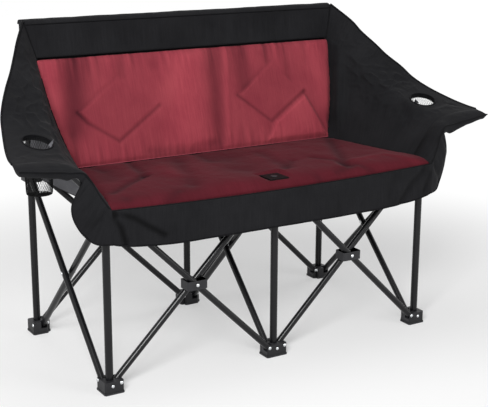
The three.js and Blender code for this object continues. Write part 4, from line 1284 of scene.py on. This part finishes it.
def band_place(side, u, v):
    """A point on the band: u along the rail, v round the section, over the top and back below."""
    t = 2 * v if v < 0.5 else 2 - 2 * v
    point = curve_point(BAND_FRONT, u).lerp(curve_point(WING_FRONT, u), t)
    arch = math.sin(math.pi * clamp(t))
    close = min((1 - u) / 0.035, 1) ** 0.5
    fold = ripple(point.x / 30, point.y / 34, point.z / 30 + side * 5)
    if v < 0.5:
        return point - band_down(u) * ((BAND_CROWN + 2.2 * fold) * arch * close)
    depth = BAND_DEPTH + BAND_LOBES[side] * bell(u - 0.54, 0.15) ** 0.8 - BAND_TAPER * ease((u - 0.7) / 0.3)
    depth *= mix(0.45, 1, ease(u / 0.1)) * mix(0.25, 1, close)
    return point + band_down(u) * ((depth + 2.5 * fold) * max(arch, 0) ** 0.55)


def band_shade(co):
    """Painted shade: the deep fold between the lower end of the band and the seat is painted almost black.
    """
    behind = bell(min(co.y * 1000 + ORIGIN_Y - 25, 0), 17)
    return 0.9 * behind * (1 - ease((abs(co.x) * 1000 - 556) / 50))


for name, side in SIDES.items():
    bm = closed_loft(84, 44, lambda u, v: at(*band_place(side, u, v)))
    if side < 0:
        bmesh.ops.scale(bm, vec=(-1, 1, 1), verts=bm.verts)
    band = make_piece(f"arm_band_{name}", bm, black_cloth, ARM_BODY[name], [f"arm_sleeve_{name}"],
                      sharp=math.radians(70))
    lay_uv(band.data, Vector((0, 1, 0)), Vector((side * 0.8, 0, 0.6)))
    paint_shade_layer(band.data, band_shade)
    front = mirrored([curve_point(BAND_FRONT, s) for s in shares(60)], side)
    arm_pieces[name] += [band, cord_piece(f"arm_band_piping_{name}", ARM_BODY[name], [(front, 2.4)])]
print("arm bands are", BAND_DEPTH, "mm deep")

# %% [markdown]
# The front skirt hangs from the seat's front edge. It is slack cloth: two creases fan out from the left
# corner, softer ones from the right, and the long middle only bellies a little.

# %% Front skirt
SKIRT_LOW, SKIRT_LIFT, SKIRT_CLOTH, SKIRT_PROUD = 414, 24, 2.6, 3.2
SKIRT_CREASES = [
    ([(-534, 520), (-515, 485), (-500, 436)], 9, 8.0), ([(-521, 520), (-500, 485), (-482, 436)], 11, -4.0),
    ([(-534, 522), (-475, 501), (-431, 471), (-385, 443)], 8, 7.5),
    ([(-520, 508), (-478, 486), (-440, 458), (-410, 436)], 12, -4.0),
    ([(505, 515), (455, 480), (420, 430)], 14, 4.5), ([(530, 500), (508, 450)], 11, 4.0),
    ([(480, 515), (432, 480), (398, 430)], 14, -2.0), ([(395, 505), (372, 455)], 15, 2.0),
]


def skirt_low(x):
    return SKIRT_LOW + SKIRT_LIFT * abs(x / SEAT_FRONT_HALF) ** 6


def skirt_top(x):
    return SEAT_Z - edge_drop(x) - 2


def skirt_y(x, z):
    """How far forward the skirt hangs at a place."""
    down = skirt_top(x) - z
    slack = 4.0 * ripple(x / 120, z / 160, 3.0)
    slack += 1.1 * ripple(x / 26, z / 110, 8.0)
    belly = (3.0 + slack) * ease(down / 55) - crease_depth(x, z, SKIRT_CREASES)
    return SEAT_FRONT_Y - SKIRT_PROUD - max(belly + 2, -2.5) * ease((SEAT_FRONT_HALF - abs(x)) / 22)


def skirt_place(u, v):
    x = mix(-1, 1, u) * (SEAT_FRONT_HALF + 0.5)
    z = mix(skirt_low(x), skirt_top(x), v)
    return at(x, skirt_y(x, z), z)


def thicken(piece, thickness_mm):
    """Gives a sheet its cloth thickness, half to each side."""
    cloth = piece.modifiers.new("cloth_thickness", "SOLIDIFY")
    cloth.thickness = mm(thickness_mm)
    cloth.offset = 0
    settle_modifiers(piece)


bm = unit_grid(200, 28, 1.08, 0.12)
lay_grid(bm, skirt_place)
skirt = make_piece("front_skirt_cloth", bm, black_cloth, "bracket_front_centre", ["front_skirt"],
                   outward=False)
thicken(skirt, SKIRT_CLOTH)
# Painted shade: the skirt is painted darker down in its creases.
paint_shade_layer(skirt.data, lambda co: 0.13 * crease_depth(co.x * 1000, co.z * 1000, SKIRT_CREASES))
across = [mix(-1, 1, s) * SEAT_FRONT_HALF for s in shares(120)]
lower_hem = [(x, skirt_y(x, skirt_low(x)), skirt_low(x) + 1) for x in across]
seat_seam = [(x, SEAT_FRONT_Y - 1.6, skirt_top(x) + 0.5) for x in across]
skirt_hems = cord_piece("front_skirt_hems", "bracket_front_centre", [(lower_hem, 3.0), (seat_seam, 2.4)])
print("skirt hangs", round(skirt_top(0) - skirt_low(0)), "mm in the middle")

# %% [markdown]
# Each end of the skirt runs on into a pouch-like corner, sewn along its top to the arm band. Its free
# edge sweeps out and up from the skirt's hem to the lobe under the band.

# %% Skirt corners
POUCH_LOW = [Vector(p) for p in ((538.3, -53.2, 438), (575, -34, 440), (600, -18, 460), (617, -10, 486),
                                 (628, -6, 516), (629, -7, 547), (616, -14, 580), (606, -22, 604))]
POUCH_HIGH = [Vector(p) for p in ((538.3, -53.2, 530), (562, -43, 563), (584, -35, 604), (600, -30, 622))]


def pouch_point(u, v):
    """A point on the corner: u outwards along its free edge, v up to its seam."""
    point = curve_point(POUCH_LOW, u).lerp(curve_point(POUCH_HIGH, u), v)
    round_u, round_v = (math.sin(math.pi * clamp(share)) for share in (u, v))
    folds = ripple(u * 5.0, v * 1.3, 2.0) * 7.0
    folds += ripple(u * 12.0, v * 3.0, 5.0) * 2.5
    crease = 8.0 * bell(u - 0.12 - 0.16 * (1 - v), 0.06) * round_v ** 0.5
    away = Vector((u, -1, 0)).normalized()
    return point + away * (10 * round_v * round_u + folds * round_v * round_u - crease * min(u / 0.1, 1))


def side_sheet(kind, name, grid, point_at, material, thickness_mm, hem_r):
    """A sheet on one side, hung by point_at(u, v), with a taped cord along its lower edge."""
    side = SIDES[name]
    bm = unit_grid(*grid)
    lay_grid(bm, lambda u, v: at(*mirrored([point_at(u, v)], side)[0]))
    sheet = make_piece(f"{kind}_{name}", bm, material, ARM_BODY[name], [], outward=False)
    thicken(sheet, thickness_mm)
    edge = mirrored([point_at(s, 0) for s in shares(40)], side)
    hem = cord_piece(f"{kind}_hem_{name}", ARM_BODY[name], [(edge, hem_r)])
    arm_pieces[name] += [sheet, hem]
    return sheet, hem


for name in SIDES:
    pouch, hem = side_sheet("skirt_corner", name, (56, 34, 0.2, 0.1), pouch_point, black_cloth,
                            SKIRT_CLOTH, 2.8)
print("skirt corners", len(SIDES))

# %% [markdown]
# Below each wing a single layer of grey lining closes the side, from the frame's top rail up to the
# wing's outer face. It is what shows under the near arm.

# %% Side lining
LINING_REAR, LINING_FRONT = Vector((545, 507, 514)), Vector((546, 12, 532))
LINING_SHARE, LINING_SAG, LINING_CLOTH = 0.42, 5, 1.6


def lining_point(u, v):
    """A point on the lining: u from rear to front, v up from its free lower edge."""
    low = LINING_REAR.lerp(LINING_FRONT, u) - Vector((0, 0, LINING_SAG * math.sin(math.pi * u)))
    along = mix(0.03, 0.97, u)
    high = wing_point(along, LINING_SHARE) + wing_normal(along, LINING_SHARE) * 12
    belly = math.sin(math.pi * v) * (6 + 5 * ripple(u * 6, v * 1.5, 4.0))
    return low.lerp(high, v) + Vector((belly, 0, 0))


for name in SIDES:
    lining, hem = side_sheet("side_lining", name, (60, 24, 0.5, 0.2), lining_point, lining_cloth,
                             LINING_CLOTH, 1.8)
print("side linings", len(SIDES))

# %% [markdown]
# The drink holders are knotted net. A grid is poked, so each square gets four triangles, and its own
# edges are dissolved: what is left is a lattice of diamonds. The lattice is rolled into a pocket, and a
# Wireframe modifier turns every edge into a cord, a little thicker than the real one so that it shows.

# %% Net pockets
NET_AROUND, NET_DOWN, NET_CORD = 38, 13, 1.4
NET_TOP_R, NET_LOW_R, NET_FLOOR_Z, NET_WALL = 40.5, 35, 544, 0.76
DISC_R, DISC_THICK = 11, 2.2


def net_place(u, v):
    """Round the pocket by u, and down its wall and in under its bottom by v."""
    wall, under = min(v / NET_WALL, 1), max((v - NET_WALL) / (1 - NET_WALL), 0)
    point = ring_point(u * math.tau, mix(NET_TOP_R, NET_LOW_R, wall) * (1 - 0.7 * under), 2)
    point.z = mix(point.z, NET_FLOOR_Z + 4, wall) - 3 * math.sin(under * math.pi / 2)
    return point


for name, side in SIDES.items():
    bm = unit_grid(NET_AROUND, NET_DOWN)
    squares = list(bm.edges)
    bmesh.ops.poke(bm, faces=bm.faces)
    inner = [e for e in squares if e.is_valid and not e.is_boundary]
    bmesh.ops.dissolve_edges(bm, edges=inner, use_verts=False)
    lay_grid(bm, lambda u, v: at(*mirrored([net_place(u, 1 - v)], side)[0]))
    bmesh.ops.remove_doubles(bm, verts=bm.verts, dist=mm(0.1))
    net = make_piece(f"net_pocket_{name}", bm, net_cord, ARM_BODY[name], [f"cup_pocket_{name}"])
    cords = net.modifiers.new("cords", "WIREFRAME")
    cords.thickness = mm(NET_CORD)
    cords.use_replace = True
    cords.use_even_offset = False
    settle_modifiers(net)
    bm = bmesh.new()
    disc = Matrix.Translation(at(side * HOLE.x, HOLE.y, NET_FLOOR_Z + 1.2))
    bmesh.ops.create_cone(bm, cap_ends=True, segments=32, radius1=mm(DISC_R), radius2=mm(DISC_R),
                          depth=mm(DISC_THICK), matrix=disc)
    bmesh.ops.bevel(bm, geom=list(bm.edges), offset=mm(0.8), segments=2, profile=0.5, affect="EDGES",
                    material=-1)
    add_cord(bm, mirrored([ring_point(s * math.tau, NET_TOP_R, 5) for s in shares(48)], side), 2.2)
    base = make_piece(f"net_pocket_base_{name}", bm, tape, ARM_BODY[name], [])
    arm_pieces[name] += [net, base]
print("net squares", NET_AROUND * NET_DOWN)

# %% [markdown]
# The black flap behind the seat joins the seat to the rear brackets. The switch is a square of silicone
# with a round button that really presses, and that has a shallow dish in its top.

# %% Rear flap
FLAP_RUN = [(0, 381, 545), (0, 387, 533), (0, 400, 527), (0, 440, 524), (0, 495, 525)]
FLAP_CLOTH = 3


def flap_place(u, v):
    x, place = mix(-1, 1, u) * (SEAT_REAR_HALF + 4), curve_point(FLAP_RUN, v)
    sag = 1.2 * ripple(x / 50, place.y / 40, 6.0) * math.sin(math.pi * v)
    return at(x, place.y, place.z - sag)


bm = unit_grid(90, 14, 1, 1)
lay_grid(bm, flap_place)
uv = bm.loops.layers.uv["cloth"]
for face in bm.faces:
    for loop in face.loops:
        loop[uv].uv = loop.vert.co.xy
flap = make_piece("seat_rear_flap", bm, black_cloth, "seat_rear", [], outward=False)
thicken(flap, FLAP_CLOTH)
print("rear flap laid")

# %% Switch
round_moulding("switch_patch", node_body["switch_patch"], silicone, 1.2)
low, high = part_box("switch_button")
bm = bmesh.new()
button_r = (high.x - low.x) / 2
place = Matrix.Translation((low + high) / 2)
bmesh.ops.create_cone(bm, cap_ends=True, segments=40, radius1=button_r, radius2=button_r,
                      depth=high.z - low.z, matrix=place)
top = [f for f in bm.faces if f.calc_center_median().z > high.z - 1e-5]
bmesh.ops.inset_region(bm, faces=top, thickness=mm(2.2), depth=mm(-0.35))
rims = [e for e in bm.edges if e.calc_face_angle(0) > math.radians(60)]
bmesh.ops.bevel(bm, geom=rims, offset=mm(0.5), segments=3, profile=0.5, affect="EDGES", material=-1)
make_piece("press_button", bm, button_top, "switch_button", ["switch_button"])
print("button", round(button_r * 2000), "mm across")

# %% [markdown]
# What folds with the frame is cloth. Each piece of the tub, and each wing, side lining and net pocket,
# is given its own copy of its mesh here. A wing is held by the rail in front and by the rear post
# behind, and its corner at the post comes nearer to the arm's tip as the frame closes.

# %% Own meshes for the cloth that folds
TUB_PIECES = ["back_quilted_pad", "back_shell", *BACK_SEAMS, *SEAT_PARTS, "seat_rear_flap",
              "front_skirt_cloth", "front_skirt_hems"]
for name in TUB_PIECES:
    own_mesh(bpy.data.objects[name])

for name, side in SIDES.items():
    for piece in arm_pieces[name]:
        if piece.name.startswith(("wing_", "side_lining_", "net_pocket_")):
            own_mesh(piece)
